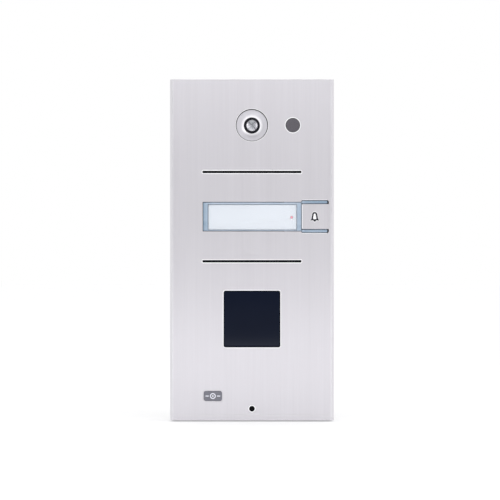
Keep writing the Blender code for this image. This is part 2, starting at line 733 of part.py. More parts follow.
def speaker(cover):
    """Gauze behind both slots and one round speaker between them, behind the name row."""
    for slot_z, place in ((UPPER_SLOT_Z, "upper"), (LOWER_SLOT_Z, "lower")):
        half_length = SLOT_LENGTH / 2 + 1.5 * MM
        half_height = SLOT_HEIGHT / 2 + 1.8 * MM
        part(box("speaker_gauze_" + place, -half_length, half_length, BEHIND_SHEET,
                 BEHIND_SHEET + 0.4 * MM, slot_z - half_height, slot_z + half_height),
             black_cloth, cover)
    outer = 25 * MM
    neck = 22 * MM
    inner = 21.4 * MM
    seat = 13 * MM
    throat = 6 * MM
    metal = 1.2 * MM
    flange_front = -24.1 * MM
    flange_back = CARRIER_BACK - CARRIER_FLOOR - GAP
    basket_back = -12 * MM
    basket_floor = basket_back - metal
    basket = turned("speaker_basket", [
        (outer, flange_front), (outer, flange_back), (neck, flange_back), (neck, CARRIER_BACK),
        (seat, basket_back), (throat, basket_back), (throat, basket_floor),
        (seat - 1 * MM, basket_floor), (inner, CARRIER_BACK - 1 * MM), (inner, flange_front)],
        0, SPEAKER_Z)
    part(basket, black_metal, cover)

    paper = 0.8 * MM
    cone_rim = inner - 0.5 * MM
    cone_front = flange_front + 1.2 * MM
    coil_radius = 6 * MM
    cone_floor = basket_floor - 2.8 * MM
    dome_front = cone_floor - 2.3 * MM
    cone = turned("speaker_cone", [
        (0, dome_front), (coil_radius / 2, dome_front + 0.5 * MM), (coil_radius, cone_floor),
        (coil_radius + 2 * MM, cone_floor), (cone_rim, cone_front + paper),
        (cone_rim, cone_front), (coil_radius + 2 * MM, cone_floor - paper),
        (coil_radius, cone_floor - paper), (coil_radius / 2, dome_front - 0.4 * MM),
        (0, dome_front - paper)], 0, SPEAKER_Z)
    part(cone, black_paper, cover)
    magnet_front = basket_back + GAP
    magnet_back = magnet_front + 5.7 * MM
    part(rod("speaker_magnet", seat, (0, magnet_front, SPEAKER_Z), (0, magnet_back, SPEAKER_Z),
             sides=32), dark_steel, cover)


def microphone(cover):
    """The capsule behind its hole, in a rubber boot."""
    outer = 3.9 * MM
    bore = 2.95 * MM
    boot_back = BEHIND_SHEET + 3.8 * MM
    boot = turned("microphone_boot", [
        (outer, BEHIND_SHEET), (outer, boot_back), (bore, boot_back), (bore, BEHIND_SHEET)],
        0, MIC_Z, sides=24)
    part(boot, black_rubber, cover)
    capsule_radius = bore - GAP
    capsule_front = BEHIND_SHEET + GAP
    part(rod("microphone_capsule", capsule_radius, (0, capsule_front, MIC_Z),
             (0, capsule_front + 3.1 * MM, MIC_Z)), black_cloth, cover)


# ---- Card reader and badge ----

def square_ring(name, outer, inner, front, back):
    """A square ring round the reader's centre."""
    outlines = [rounded_rectangle(-half, half, READER_Z - half, READER_Z + half, 1.2 * MM, 3)
                for half in (outer / 2, inner / 2)]
    return slab(name, outlines, front, back)


def reader(cover):
    """Dark window, frame, aerial coil and board."""
    half = READER_SIZE / 2 - GAP
    window_front = FRONT + 0.2 * MM
    window_back = window_front + 2.8 * MM
    outline = rounded_rectangle(-half, half, READER_Z - half, READER_Z + half, 1 * MM)
    part(slab("reader_window", [outline], window_front, window_back), dark_gloss, cover)
    part(square_ring("reader_frame", READER_SIZE + 6 * MM, READER_SIZE, BEHIND_SHEET,
                     CARRIER_BACK - CARRIER_FLOOR - GAP), black_plastic, cover)
    coil_front = window_back + GAP
    coil_back = coil_front + 0.8 * MM
    part(square_ring("reader_coil", 30 * MM, 25 * MM, coil_front, coil_back), copper, cover)
    board_half = READER_SIZE / 2 - 0.5 * MM
    board_front = coil_back + GAP
    part(box("reader_board", -board_half, board_half, board_front, board_front + BOARD_THICKNESS,
             READER_Z - board_half, READER_Z + board_half), green_board, cover)


def badge_outline(margin=0.0):
    half_width = BADGE_WIDTH / 2 + margin
    half_height = BADGE_HEIGHT / 2 + margin
    return rounded_rectangle(BADGE_X - half_width, BADGE_X + half_width, BADGE_Z - half_height,
                             BADGE_Z + half_height, 1.3 * MM + margin)


def badge(cover):
    part(slab("badge", [badge_outline()], FRONT, FRONT + 0.5 * MM), grey_plastic, cover)


# ---- Main board ----

def main_board(cover):
    """The board behind the carrier, with a hole round the speaker, and its four screws."""
    board = box("main_board", -BOARD_WIDTH / 2, BOARD_WIDTH / 2, BOARD_FRONT, BOARD_BACK,
                -BOARD_HEIGHT / 2, BOARD_HEIGHT / 2)
    cut(board, rod("speaker_clearance", 20 * MM, (0, BOARD_FRONT - 1 * MM, SPEAKER_Z),
                   (0, BOARD_BACK + 1 * MM, SPEAKER_Z), sides=32))
    number = 0
    head = 2.5 * MM
    shank = 1 * MM
    head_front = BOARD_BACK + GAP
    head_back = head_front + 1.6 * MM
    tip = BOARD_FRONT - 5 * MM
    slot_reach = 2 * MM
    slot_depth = 0.7 * MM
    slot_half = 0.3 * MM
    for end in (1, -1):
        for side in (-1, 1):
            number += 1
            x = side * BOARD_SCREW_X
            z = end * BOARD_SCREW_Z
            cut(board, rod("screw_hole", 1.5 * MM, (x, BOARD_FRONT - 1 * MM, z),
                           (x, BOARD_BACK + 1 * MM, z), sides=12))
            screw = turned(f"board_screw_{number}", [
                (0, head_back), (head, head_back), (head, head_front), (shank, head_front),
                (shank, tip), (0, tip)], x, z, sides=12)
            cut(screw, box("driver_slot", x - slot_reach, x + slot_reach,
                           head_back - slot_depth, head_back + PAST, z - slot_half,
                           z + slot_half))
            part(screw, plain_steel, cover)
    part(board, green_board, cover)


def on_board(name, left, bottom, width, height, depth, round_edges=0.0):
    """A component on the back of the main board, from its lower left corner."""
    front = BOARD_BACK + GAP
    return box(name, left, left + width, front, front + depth, bottom, bottom + height,
               round_edges)


def board_parts(cover):
    """Processor shield, relay, network socket and two terminal blocks."""
    part(on_board("processor_shield", 4 * MM, 48 * MM, 28 * MM, 24 * MM, 2.5 * MM, 0.4 * MM),
         plain_steel, cover)
    part(on_board("relay", 22 * MM, -40 * MM, 15 * MM, 20 * MM, 9.6 * MM, 0.5 * MM),
         blue_plastic, cover)

    jack_left = -16 * MM
    jack_bottom = -46 * MM
    jack_width = 16 * MM
    wall = 2.1 * MM
    way_front = BOARD_BACK + 1.7 * MM
    way_back = way_front + 8 * MM
    way_depth = 14 * MM
    jack = on_board("network_jack", jack_left, jack_bottom, jack_width, 20 * MM, 11.1 * MM)
    cut(jack, box("plug_way", jack_left + wall, jack_left + jack_width - wall, way_front,
                  way_back, jack_bottom - PAST, jack_bottom + way_depth))
    part(jack, plain_steel, cover)

    block_left = -41 * MM
    block_width = 10 * MM
    wire_pitch = 5 * MM
    wire_count = 5
    way_half = 1.4 * MM
    way_length = 4 * MM
    way_floor = -12 * MM
    way_roof = -9 * MM
    for bottom, place in ((-34 * MM, "upper"), (-64 * MM, "lower")):
        block = on_board("terminal_block_" + place, block_left, bottom, block_width,
                         wire_count * wire_pitch, 9.6 * MM)
        right = block_left + block_width
        for i in range(wire_count):
            wire_z = bottom + (i + 0.5) * wire_pitch
            cut(block, box("wire_way", right - way_length, right + PAST, way_floor, way_roof,
                           wire_z - way_half, wire_z + way_half))
        part(block, green_plastic, cover)


clear_scene()
panel = new_collection("door_intercom_panel")
cutters = new_collection("cutters")

satin_steel = finish("satin stainless steel", (0.66, 0.65, 0.68), 0.35, 1.0)
satin_silver = finish("satin silver", (0.72, 0.72, 0.72), 0.3, 1.0)
plain_steel = finish("plain steel", (0.55, 0.55, 0.56), 0.35, 1.0)
dark_steel = finish("dark steel", (0.12, 0.12, 0.13), 0.45, 1.0)
black_metal = finish("black painted metal", (0.02, 0.02, 0.02), 0.5, 0.3)
cast_metal = finish("painted casting", (0.30, 0.31, 0.32), 0.55, 0.2)
brass = finish("brass", (0.72, 0.53, 0.23), 0.35, 1.0)
copper = finish("copper", (0.75, 0.38, 0.20), 0.35, 1.0)
black_rubber = finish("black rubber", (0.02, 0.02, 0.02), 0.8)
black_plastic = finish("black plastic", (0.025, 0.025, 0.03), 0.5)
grey_plastic = finish("grey plastic", (0.18, 0.18, 0.20), 0.5)
blue_plastic = finish("blue plastic", (0.05, 0.16, 0.42), 0.4)
green_plastic = finish("green plastic", (0.03, 0.28, 0.10), 0.45)
gloss_black = finish("gloss black", (0.02, 0.02, 0.025), 0.15)
dark_gloss = finish("dark gloss window", (0.008, 0.011, 0.023), 0.08)
grey_window = finish("grey window", (0.13, 0.13, 0.15), 0.3)
clear_glass = finish("clear glass", (0.8, 0.85, 0.9), 0.05)
blue_acrylic = finish("blue acrylic", (0.30, 0.42, 0.53), 0.25)
white_card = finish("white card", (0.72, 0.75, 0.81), 0.6)
red_lamp = finish("red lamp", (0.85, 0.25, 0.30), 0.3)
black_cloth = finish("black cloth", (0.015, 0.015, 0.018), 0.9)
black_paper = finish("black paper", (0.03, 0.03, 0.03), 0.8)
green_board = finish("green circuit board", (0.03, 0.16, 0.07), 0.4)

rear_housing()
housing_seal()
cable_grommet()
lock(-1, "left")
lock(1, "right")

cover_pivot = pivot("cover_pivot", (0, HINGE_Y, HINGE_Z))
button_pivot = pivot("button_pivot", (BUTTON_ROOT, (FRONT + SHEET_BACK) / 2, BUTTON_Z),
                     cover_pivot)
plunger_pivot = pivot("plunger_pivot", (PUSHER_X, PLUNGER_FRONT, BUTTON_Z), cover_pivot)
for make in (front_plate, top_end_cap, bottom_end_cap, hinge_rod, module_carrier, carrier_nuts,
             camera, light_sensor, name_row, speaker, microphone, reader, badge, main_board,
             board_parts):
    make(cover_pivot)
call_button(button_pivot)
call_switch(cover_pivot, plunger_pivot)
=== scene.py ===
"""Looks of the door intercom panel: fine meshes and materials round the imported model."""

import json
from math import cos, pi, radians, sin

import bmesh
import bpy
from mathutils import Matrix, Vector


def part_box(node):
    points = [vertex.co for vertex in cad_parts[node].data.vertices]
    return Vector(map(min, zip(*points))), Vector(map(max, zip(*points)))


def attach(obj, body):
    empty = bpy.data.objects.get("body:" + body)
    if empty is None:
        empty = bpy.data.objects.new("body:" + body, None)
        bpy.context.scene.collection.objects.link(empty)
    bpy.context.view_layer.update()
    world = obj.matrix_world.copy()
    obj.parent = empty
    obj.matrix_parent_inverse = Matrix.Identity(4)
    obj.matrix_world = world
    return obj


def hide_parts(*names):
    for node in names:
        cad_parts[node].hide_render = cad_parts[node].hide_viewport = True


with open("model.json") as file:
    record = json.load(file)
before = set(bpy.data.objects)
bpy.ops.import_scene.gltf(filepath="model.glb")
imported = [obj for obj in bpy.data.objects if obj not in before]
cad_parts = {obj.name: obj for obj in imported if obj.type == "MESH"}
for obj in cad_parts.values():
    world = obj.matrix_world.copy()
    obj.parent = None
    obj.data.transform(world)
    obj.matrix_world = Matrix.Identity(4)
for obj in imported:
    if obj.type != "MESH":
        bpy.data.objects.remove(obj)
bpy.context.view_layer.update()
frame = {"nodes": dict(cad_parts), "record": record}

MM = 0.001
# The play round a part in its opening, and how far a cutter reaches beyond what it cuts.
GAP = 0.3 * MM
PAST = 1 * MM

# ---- Places read from the frame ----

SHEET_LOW, SHEET_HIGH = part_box("front_plate")
TONGUE_LOW, TONGUE_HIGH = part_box("call_button")
GUIDE_LOW, GUIDE_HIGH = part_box("light_guide")
LABEL_LOW, LABEL_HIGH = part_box("name_label")

FRONT = SHEET_LOW.y
SHEET_BACK = TONGUE_HIGH.y
SHEET = SHEET_BACK - FRONT
BEND_RADIUS = 1.8 * MM
BUTTON_SLOT = 2.4 * MM
NAME_LEFT = GUIDE_LOW.x - GAP
NAME_RIGHT = TONGUE_LOW.x - 0.2 * MM
NAME_BOTTOM = LABEL_LOW.z - 1.1 * MM
NAME_TOP = LABEL_HIGH.z + 1.75 * MM
BUTTON_ROOT = TONGUE_HIGH.x + GAP
CAMERA_HOLE = 10 * MM
EDGE_WIDTH = 0.5 * MM
EDGE_DEPTH = 0.3 * MM
LIP = 0.25 * MM
BOARD_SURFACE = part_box("main_board")[1].y + 0.02 * MM

RECORD = frame["record"]
BODY_OF = {node: body for body, nodes in RECORD["behaviour"]["bodies"].items() for node in nodes}


def middle(node):
    low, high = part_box(node)
    return (low + high) / 2


def round_node(node):
    """The front, back and radius of a node that is round about Y."""
    low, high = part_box(node)
    return low.y, high.y, (high.x - low.x) / 2


CAMERA = middle("camera_bezel")
SENSOR = middle("light_sensor_window")
BADGE = middle("badge")
MICROPHONE = middle("microphone_boot")
BELL = middle("bell_mark")
STATUS = middle("status_led")


# ---- Mesh helpers ----

def add_mesh(name, mesh):
    """A new object in the scene."""
    item = bpy.data.objects.new(name, mesh)
    bpy.context.scene.collection.objects.link(item)
    return item


def from_bmesh(name, shape, smooth_angle=35):
    """An object from a built shape, with its faces turned outwards."""
    mesh = bpy.data.meshes.new(name)
    bmesh.ops.recalc_face_normals(shape, faces=shape.faces)
    shape.to_mesh(mesh)
    shape.free()
    item = add_mesh(name, mesh)
    smooth(item, smooth_angle)
    return item


def smooth(item, angle=35):
    """Smooth shading, except over edges sharper than an angle."""
    item.data.shade_smooth()
    item.data.set_sharp_from_angle(angle=radians(angle))


def applied(item):
    """Turn an item with modifiers into a plain mesh."""
    bpy.context.view_layer.update()
    evaluated = item.evaluated_get(bpy.context.evaluated_depsgraph_get())
    mesh = bpy.data.meshes.new_from_object(evaluated)
    old = item.data
    item.modifiers.clear()
    item.data = mesh
    bpy.data.meshes.remove(old)
    return item


def remove(*items):
    """Take helper objects out of the scene."""
    for item in items:
        bpy.data.objects.remove(item, do_unlink=True)


def arc(x, y, radius, start, end, steps):
    """Points along an arc, from a start to an end angle in degrees."""
    angles = [radians(start + (end - start) * i / steps) for i in range(steps + 1)]
    return [(x + radius * cos(angle), y + radius * sin(angle)) for angle in angles]


def circle(x, y, radius, sides=64):
    """Points round a circle."""
    return arc(x, y, radius, 0, 360, sides)[:-1]


def rectangle(left, right, bottom, top):
    """The corners of a rectangle."""
    return [(left, bottom), (right, bottom), (right, top), (left, top)]


def rounded_rectangle(left, right, bottom, top, radius, steps=8):
    """Points round a rectangle with rounded corners."""
    return (arc(right - radius, top - radius, radius, 0, 90, steps)
            + arc(left + radius, top - radius, radius, 90, 180, steps)
            + arc(left + radius, bottom + radius, radius, 180, 270, steps)
            + arc(right - radius, bottom + radius, radius, 270, 360, steps))


def node_outline(node, margin, radius, steps=8):
    """A node's outline on the front, grown by a margin, with rounded corners."""
    low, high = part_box(node)
    return rounded_rectangle(low.x - margin, high.x + margin, low.z - margin, high.z + margin,
                             radius, steps)


def dome(radius, edge, rise, steps):
    """The profile of a dome, from its crown out to its edge."""
    angles = [pi / 2 * i / steps for i in range(steps + 1)]
    return [(radius * sin(angle), edge - rise * cos(angle)) for angle in angles]


def flat_piece(name, outlines, thickness, rounding=0.0):
    """Filled flat outlines given thickness, with every rim rounded, round the X-Y plane."""
    curve = bpy.data.curves.new(name, "CURVE")
    curve.dimensions = "2D"
    curve.fill_mode = "BOTH"
    curve.extrude = thickness / 2 - rounding
    curve.bevel_depth = rounding
    curve.bevel_resolution = 2
    curve.offset = -rounding
    for outline in outlines:
        spline = curve.splines.new("POLY")
        spline.points.add(len(outline) - 1)
        spline.use_cyclic_u = True
        for point, (x, y) in zip(spline.points, outline):
            point.co = (x, y, 0, 1)
    guide = bpy.data.objects.new(name + "_curve", curve)
    bpy.context.scene.collection.objects.link(guide)
    bpy.context.view_layer.update()
    evaluated = guide.evaluated_get(bpy.context.evaluated_depsgraph_get())
    mesh = bpy.data.meshes.new_from_object(evaluated)
    remove(guide)
    shape = bmesh.new()
    shape.from_mesh(mesh)
    bpy.data.meshes.remove(mesh)
    bmesh.ops.remove_doubles(shape, verts=shape.verts, dist=0.000002)
    bmesh.ops.dissolve_degenerate(shape, edges=shape.edges, dist=0.000001)
    return shape


def panel_piece(name, outlines, front, back, rounding=0.0):
    """Outlines in X and Z with thickness along Y."""
    shape = flat_piece(name, outlines, back - front, rounding)
    bmesh.ops.transform(shape, verts=shape.verts, matrix=Matrix.Rotation(pi / 2, 4, "X"))
    bmesh.ops.translate(shape, verts=shape.verts, vec=(0, (front + back) / 2, 0))
    return from_bmesh(name, shape)


def node_panel(name, node, outlines, rounding):
    """Outlines in X and Z, as thick as a node."""
    low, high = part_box(node)
    return panel_piece(name, outlines, low.y, high.y, rounding)


def upright_piece(name, outlines, bottom, top, rounding=0.0):
    """Outlines in X and Y with height along Z."""
    shape = flat_piece(name, outlines, top - bottom, rounding)
    bmesh.ops.translate(shape, verts=shape.verts, vec=(0, 0, (bottom + top) / 2))
    return from_bmesh(name, shape)


def side_piece(name, outlines, left, right, rounding=0.0):
    """Outlines in Y and Z with width along X."""
    shape = flat_piece(name, outlines, right - left, rounding)
    turn = Matrix(((0, 0, 1, 0), (1, 0, 0, 0), (0, 1, 0, 0), (0, 0, 0, 1)))
    bmesh.ops.transform(shape, verts=shape.verts, matrix=turn)
    bmesh.ops.translate(shape, verts=shape.verts, vec=((left + right) / 2, 0, 0))
    return from_bmesh(name, shape)


def block(name, low, high, rounding):
    """A box with every edge rounded."""
    low, high = Vector(low), Vector(high)
    shape = bmesh.new()
    bmesh.ops.create_cube(shape, size=1.0, matrix=Matrix.Diagonal((*(high - low), 1.0)))
    bmesh.ops.bevel(shape, geom=shape.edges, offset=rounding, segments=2, profile=0.5,
                    affect="EDGES")
    bmesh.ops.translate(shape, verts=shape.verts, vec=(low + high) / 2)
    return from_bmesh(name, shape)


def turned(name, profile, x, z, sides=96, smooth_angle=30):
    """A piece turned about a line along Y. The profile is a closed loop of (radius, y) points."""
    shape = bmesh.new()
    rings = []
    for radius, y in profile:
        if radius == 0:
            rings.append([shape.verts.new((x, y, z))])
        else:
            rings.append([shape.verts.new((x + radius * cos(2 * pi * i / sides), y,
                                           z + radius * sin(2 * pi * i / sides)))
                          for i in range(sides)])
    count = len(rings)
    for k in range(count):
        first, second = rings[k], rings[(k + 1) % count]
        if len(first) == 1 and len(second) == 1:
            continue
        for i in range(sides):
            j = (i + 1) % sides
            corners = [first[i % len(first)], first[j % len(first)], second[j % len(second)],
                       second[i % len(second)]]
            shape.faces.new(list(dict.fromkeys(corners)))
    return from_bmesh(name, shape, smooth_angle)


def carve(target, cutters):
    """Cut each cutter out of the target and remove it."""
    for cutter in cutters:
        modifier = target.modifiers.new("Cut", "BOOLEAN")
        modifier.operation = "DIFFERENCE"
        modifier.object = cutter
        modifier.solver = "EXACT"
    applied(target)
    remove(*cutters)
    return target


def soften(item, width):
    """Break every sharp edge."""
    bevel = item.modifiers.new("Edge break", "BEVEL")
    bevel.width = width
    bevel.segments = 2
    bevel.limit_method = "ANGLE"
    bevel.angle_limit = radians(40)
    weighted = item.modifiers.new("Flat faces", "WEIGHTED_NORMAL")
    weighted.keep_sharp = True
    applied(item)
    return item


def joined(name, items):
    """One piece from several closed bodies that don't touch."""
    shape = bmesh.new()
    for item in items:
        shape.from_mesh(item.data)
    mesh = bpy.data.meshes.new(name)
    shape.to_mesh(mesh)
    shape.free()
    remove(*items)
    item = add_mesh(name, mesh)
    smooth(item)
    return item


def dress(item, material, body):
    """Give a piece its material and its body."""
    item.data.materials.clear()
    item.data.materials.append(material)
    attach(item, body)


def stand_in(item, material, node):
    """Dress a piece as the finished form of one node."""
    dress(item, material, BODY_OF[node])
    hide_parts(node)


def turned_node(node, ending, profile, material, sides):
    """A turned piece as the finished form of a node that is round about Y."""
    place = middle(node)
    stand_in(turned(node + ending, profile, place.x, place.z, sides), material, node)


# ---- Material helpers ----

class Graph:
    """Short ways to add and join nodes."""

    def __init__(self, owner):
        owner.use_nodes = True
        self.tree = owner.node_tree

    def node(self, kind, **settings):
        """A new node with its settings."""
        node = self.tree.nodes.new(kind)
        for key, value in settings.items():
            setattr(node, key, value)
        return node

    def link(self, source, target):
        self.tree.links.new(source, target)

    def place(self, scale):
        """Object coordinates, scaled by one number or by one for each axis."""
        coordinates = self.node("ShaderNodeTexCoord")
        mapping = self.node("ShaderNodeMapping")
        mapping.inputs["Scale"].default_value = scale if isinstance(scale, tuple) else [scale] * 3
        self.link(coordinates.outputs["Object"], mapping.inputs["Vector"])
        return mapping.outputs["Vector"]

    def noise(self, scale, detail=3.0, roughness=0.5):
        """Noise from 0 to 1, with a scale in cycles per metre."""
        noise = self.node("ShaderNodeTexNoise")
        noise.inputs["Scale"].default_value = 1.0
        noise.inputs["Detail"].default_value = detail
        noise.inputs["Roughness"].default_value = roughness
        self.link(self.place(scale), noise.inputs["Vector"])
        return noise.outputs["Fac"]

    def ramp(self, value, *stops):
        """Colours or greys at positions along a value."""
        ramp = self.node("ShaderNodeValToRGB")
        elements = ramp.color_ramp.elements
        while len(elements) < len(stops):
            elements.new(0.5)
        for element, (position, colour) in zip(elements, stops):
            element.position = position
            grey = isinstance(colour, (int, float))
            element.color = (colour, colour, colour, 1) if grey else (*colour, 1)
        self.link(value, ramp.inputs["Fac"])
        return ramp.outputs["Color"]

    def feed(self, socket, value):
        """Link a socket, or set a number or a colour on it."""
        if isinstance(value, bpy.types.NodeSocket):
            self.link(value, socket)
        else:
            socket.default_value = (*value, 1) if isinstance(value, tuple) else value

    def mix(self, factor, first, second):
        """A colour between the first at 0 and the second at 1."""
        mix = self.node("ShaderNodeMix", data_type="RGBA")
        self.feed(mix.inputs["Factor"], factor)
        self.feed(mix.inputs[6], first)
        self.feed(mix.inputs[7], second)
        return mix.outputs[2]

    def math(self, operation, first, second=0.0):
        """A sum done on two values."""
        math = self.node("ShaderNodeMath", operation=operation)
        self.feed(math.inputs[0], first)
        self.feed(math.inputs[1], second)
        return math.outputs[0]

    def range(self, value, low, high, start=0.0, end=1.0):
        """Low to high as the value goes from start to end."""
        span = self.node("ShaderNodeMapRange")
        span.inputs["From Min"].default_value = start
        span.inputs["From Max"].default_value = end
        span.inputs["To Min"].default_value = low
        span.inputs["To Max"].default_value = high
        self.link(value, span.inputs["Value"])
        return span.outputs["Result"]

    def split(self, vector):
        """The X, Y and Z of a vector."""
        parts = self.node("ShaderNodeSeparateXYZ")
        self.link(vector, parts.inputs[0])
        return [parts.outputs[axis] for axis in "XYZ"]


class Surface(Graph):
    """A Principled material whose colour, roughness and bump come from nodes."""

    def __init__(self, name, **sockets):
        self.material = bpy.data.materials.new(name)
        super().__init__(self.material)
        self.shader = self.tree.nodes["Principled BSDF"]
        for key, value in sockets.items():
            self.shader.inputs[key.replace("_", " ")].default_value = value

    def offset(self, centre):
        """Object coordinates, measured from a centre."""
        coordinates = self.node("ShaderNodeTexCoord")
        offset = self.node("ShaderNodeVectorMath", operation="SUBTRACT")
        offset.inputs[1].default_value = tuple(centre)
        self.link(coordinates.outputs["Object"], offset.inputs[0])
        return offset.outputs["Vector"]

    def colour(self, value):
        self.link(value, self.shader.inputs["Base Color"])

    def roughness(self, value):
        self.link(value, self.shader.inputs["Roughness"])

    def bump(self, height, strength, distance):
        """Fine relief that follows a value."""
        bump = self.node("ShaderNodeBump")
        bump.inputs["Strength"].default_value = strength
        bump.inputs["Distance"].default_value = distance
        self.link(height, bump.inputs["Height"])
        self.link(bump.outputs["Normal"], self.shader.inputs["Normal"])

    def wear(self, size=0.4 * MM):
        """1 on outer edges and 0 elsewhere, from the shape's own corners."""
        bevel = self.node("ShaderNodeBevel", samples=4)
        bevel.inputs["Radius"].default_value = size
        geometry = self.node("ShaderNodeNewGeometry")
        dot = self.node("ShaderNodeVectorMath", operation="DOT_PRODUCT")
        self.link(bevel.outputs["Normal"], dot.inputs[0])
        self.link(geometry.outputs["Normal"], dot.inputs[1])
        return self.math("SUBTRACT", 1.0, dot.outputs["Value"])


# ---- Materials ----

def satin_steel():
    """Stainless steel with grain and streaks along the panel's height, and a painted highlight on
    its bends.
    """
    s = Surface("satin_steel", Metallic=1.0, Anisotropic=0.3)
    grain = s.noise((3000, 3000, 26), detail=4.0, roughness=0.65)
    streaks = s.noise((950, 950, 7), detail=3.0, roughness=0.6)
    bands = s.noise((260, 260, 4), detail=2.0)
    broad = s.noise((16, 16, 9), detail=2.0)
    fine_tone = s.math("ADD", s.range(grain, -0.10, 0.10), s.range(streaks, -0.07, 0.07))
    broad_tone = s.math("ADD", s.range(bands, -0.05, 0.05), s.range(broad, -0.03, 0.03))
    tone = s.math("ADD", s.math("ADD", fine_tone, broad_tone), 0.5)
    base = s.mix(tone, (0.48, 0.467, 0.500), (0.77, 0.753, 0.792))
    across = s.math("ABSOLUTE", s.split(s.place(1))[0])
    # Painted highlight: the colour turns paler over the side bends.
    bend_highlight = s.range(across, 0.0, 0.45, SHEET_HIGH.x - 2.4 * MM, SHEET_HIGH.x - 1.2 * MM)
    base = s.mix(bend_highlight, base, (0.86, 0.85, 0.88))
    edge = s.range(s.wear(0.25 * MM), 0.0, 0.4)
    s.colour(s.mix(edge, base, (0.90, 0.89, 0.92)))
    s.roughness(s.math("ADD", s.range(grain, 0.33, 0.43), s.range(bands, -0.03, 0.03)))
    s.bump(grain, 0.12, 0.02 * MM)
    return s.material


def turned_silver(centre, dark, pale, roughness, inner, outer):
    """Satin silver with turning marks, and painted shade that darkens it from an inner to an
    outer radius.
    """
    s = Surface("turned_silver", Metallic=1.0)
    flat = s.node("ShaderNodeVectorMath", operation="MULTIPLY")
    flat.inputs[1].default_value = (1, 0, 1)
    s.link(s.offset(centre), flat.inputs[0])
    radius = s.node("ShaderNodeVectorMath", operation="LENGTH")
    s.link(flat.outputs["Vector"], radius.inputs[0])
    marks = s.node("ShaderNodeTexNoise", noise_dimensions="1D")
    marks.inputs["Scale"].default_value = 5200
    marks.inputs["Detail"].default_value = 3.0
    s.link(radius.outputs["Value"], marks.inputs["W"])
    cloud = s.noise(180)
    tone = s.math("ADD", s.range(marks.outputs["Fac"], -0.08, 0.08), s.range(cloud, -0.08, 0.08))
    # Painted shade: darker from the inner radius out to the outer one, towards the rim of the
    # recess.
    tone = s.math("ADD", tone, s.range(radius.outputs["Value"], 1.0, 0.1, inner, outer))
    s.colour(s.mix(tone, (dark, dark - 0.01, dark + 0.03), (pale, pale - 0.01, pale + 0.02)))
    s.roughness(s.range(marks.outputs["Fac"], roughness, roughness + 0.12))
    s.bump(marks.outputs["Fac"], 0.12, 0.02 * MM)
    return s.material


def faceted_silver(centre):
    """Silver with painted shade along two diagonals through its centre and over its top."""
    s = Surface("diffuser_silver", Metallic=1.0)
    offset = s.offset(centre)
    size = s.node("ShaderNodeVectorMath", operation="ABSOLUTE")
    s.link(offset, size.inputs[0])
    across, _, upright = s.split(size.outputs["Vector"])
    lean = s.math("ABSOLUTE", s.math("SUBTRACT", across, upright))
    # Painted shade along the two diagonal grooves.
    painted_groove_shade = s.range(lean, 0.0, 1.0, 0.05 * MM, 0.4 * MM)
    # Painted shade over the upper facet.
    above = s.math("SUBTRACT", s.split(offset)[2], across)
    top = s.range(above, 1.0, 0.55, -0.05 * MM, 0.05 * MM)
    fine = s.noise(1500)
    tone = s.math("MULTIPLY", painted_groove_shade, top)
    tone = s.math("ADD", tone, s.range(fine, -0.08, 0.08))
    s.colour(s.mix(tone, (0.12, 0.11, 0.14), (1.0, 0.95, 1.0)))
    s.roughness(s.range(fine, 0.26, 0.36))
    s.bump(fine, 0.05, 0.02 * MM)
    return s.material


def moulded(name, colour, roughness=0.5, grain=2600, lift=1.35, bump=0.15, **sockets):
    """Moulded plastic with a fine spark-eroded grain and slightly paler edges."""
    s = Surface(name, **sockets)
    fine = s.noise(grain, detail=2.0)
    cloud = s.noise(60, detail=3.0)
    pale = tuple(min(1.0, channel * lift + 0.004) for channel in colour)
    shade = tuple(channel * 0.88 for channel in colour)
    base = s.mix(cloud, shade, pale)
    edge = s.range(s.wear(), 0.0, 0.8)
    s.colour(s.mix(edge, base, tuple(min(1.0, channel * 1.5 + 0.02) for channel in colour)))
    s.roughness(s.range(fine, roughness - 0.08, roughness + 0.08))
    s.bump(fine, bump, 0.03 * MM)
    return s.material


def rubber(name, colour=(0.022, 0.022, 0.024)):
    """Matt rubber with a dusty bloom."""
    s = Surface(name, Sheen_Weight=0.15, Sheen_Roughness=0.6)
    cloud = s.noise(90, detail=5.0)
    fine = s.noise(3000)
    s.colour(s.ramp(cloud, (0.3, colour), (0.75, tuple(c * 2.2 for c in colour))))
    s.roughness(s.range(fine, 0.68, 0.86))
    s.bump(fine, 0.2, 0.03 * MM)
    return s.material


def plain_metal(name, colour, roughness=0.32, grain=900):
    """Plated or bare metal with faint clouding and brighter edges."""
    s = Surface(name, Metallic=1.0)
    cloud = s.noise(grain, detail=4.0)
    broad = s.noise(120)
    base = s.mix(s.math("MULTIPLY", cloud, broad), tuple(c * 0.75 for c in colour),
                 tuple(min(1.0, c * 1.2) for c in colour))
    edge = s.range(s.wear(), 0.0, 0.7)
    s.colour(s.mix(edge, base, tuple(min(1.0, c * 1.45) for c in colour)))
    s.roughness(s.range(cloud, roughness - 0.07, roughness + 0.1))
    s.bump(cloud, 0.08, 0.03 * MM)
    return s.material


def painted_casting():
    """Grey paint with an orange-peel texture over a casting."""
    s = Surface("painted_casting", Coat_Weight=0.12, Coat_Roughness=0.35)
    peel = s.noise(700, detail=2.0)
    cloud = s.noise(25, detail=4.0)
    base = s.mix(cloud, (0.20, 0.205, 0.215), (0.29, 0.295, 0.305))
    edge = s.range(s.wear(0.5 * MM), 0.0, 0.8)
    s.colour(s.mix(edge, base, (0.40, 0.40, 0.41)))
    s.roughness(s.range(peel, 0.48, 0.62))
    s.bump(peel, 0.25, 0.05 * MM)
    return s.material


def label_card():
    """White card with faint fibres."""
    s = Surface("label_card")
    fibre = s.noise((1500, 700, 1500), detail=4.0)
    cloud = s.noise(40)
    s.colour(s.mix(s.math("MULTIPLY", fibre, cloud), (0.74, 0.775, 0.83), (0.83, 0.855, 0.90)))
    s.roughness(s.range(fibre, 0.55, 0.7))
    s.bump(fibre, 0.05, 0.02 * MM)
    return s.material


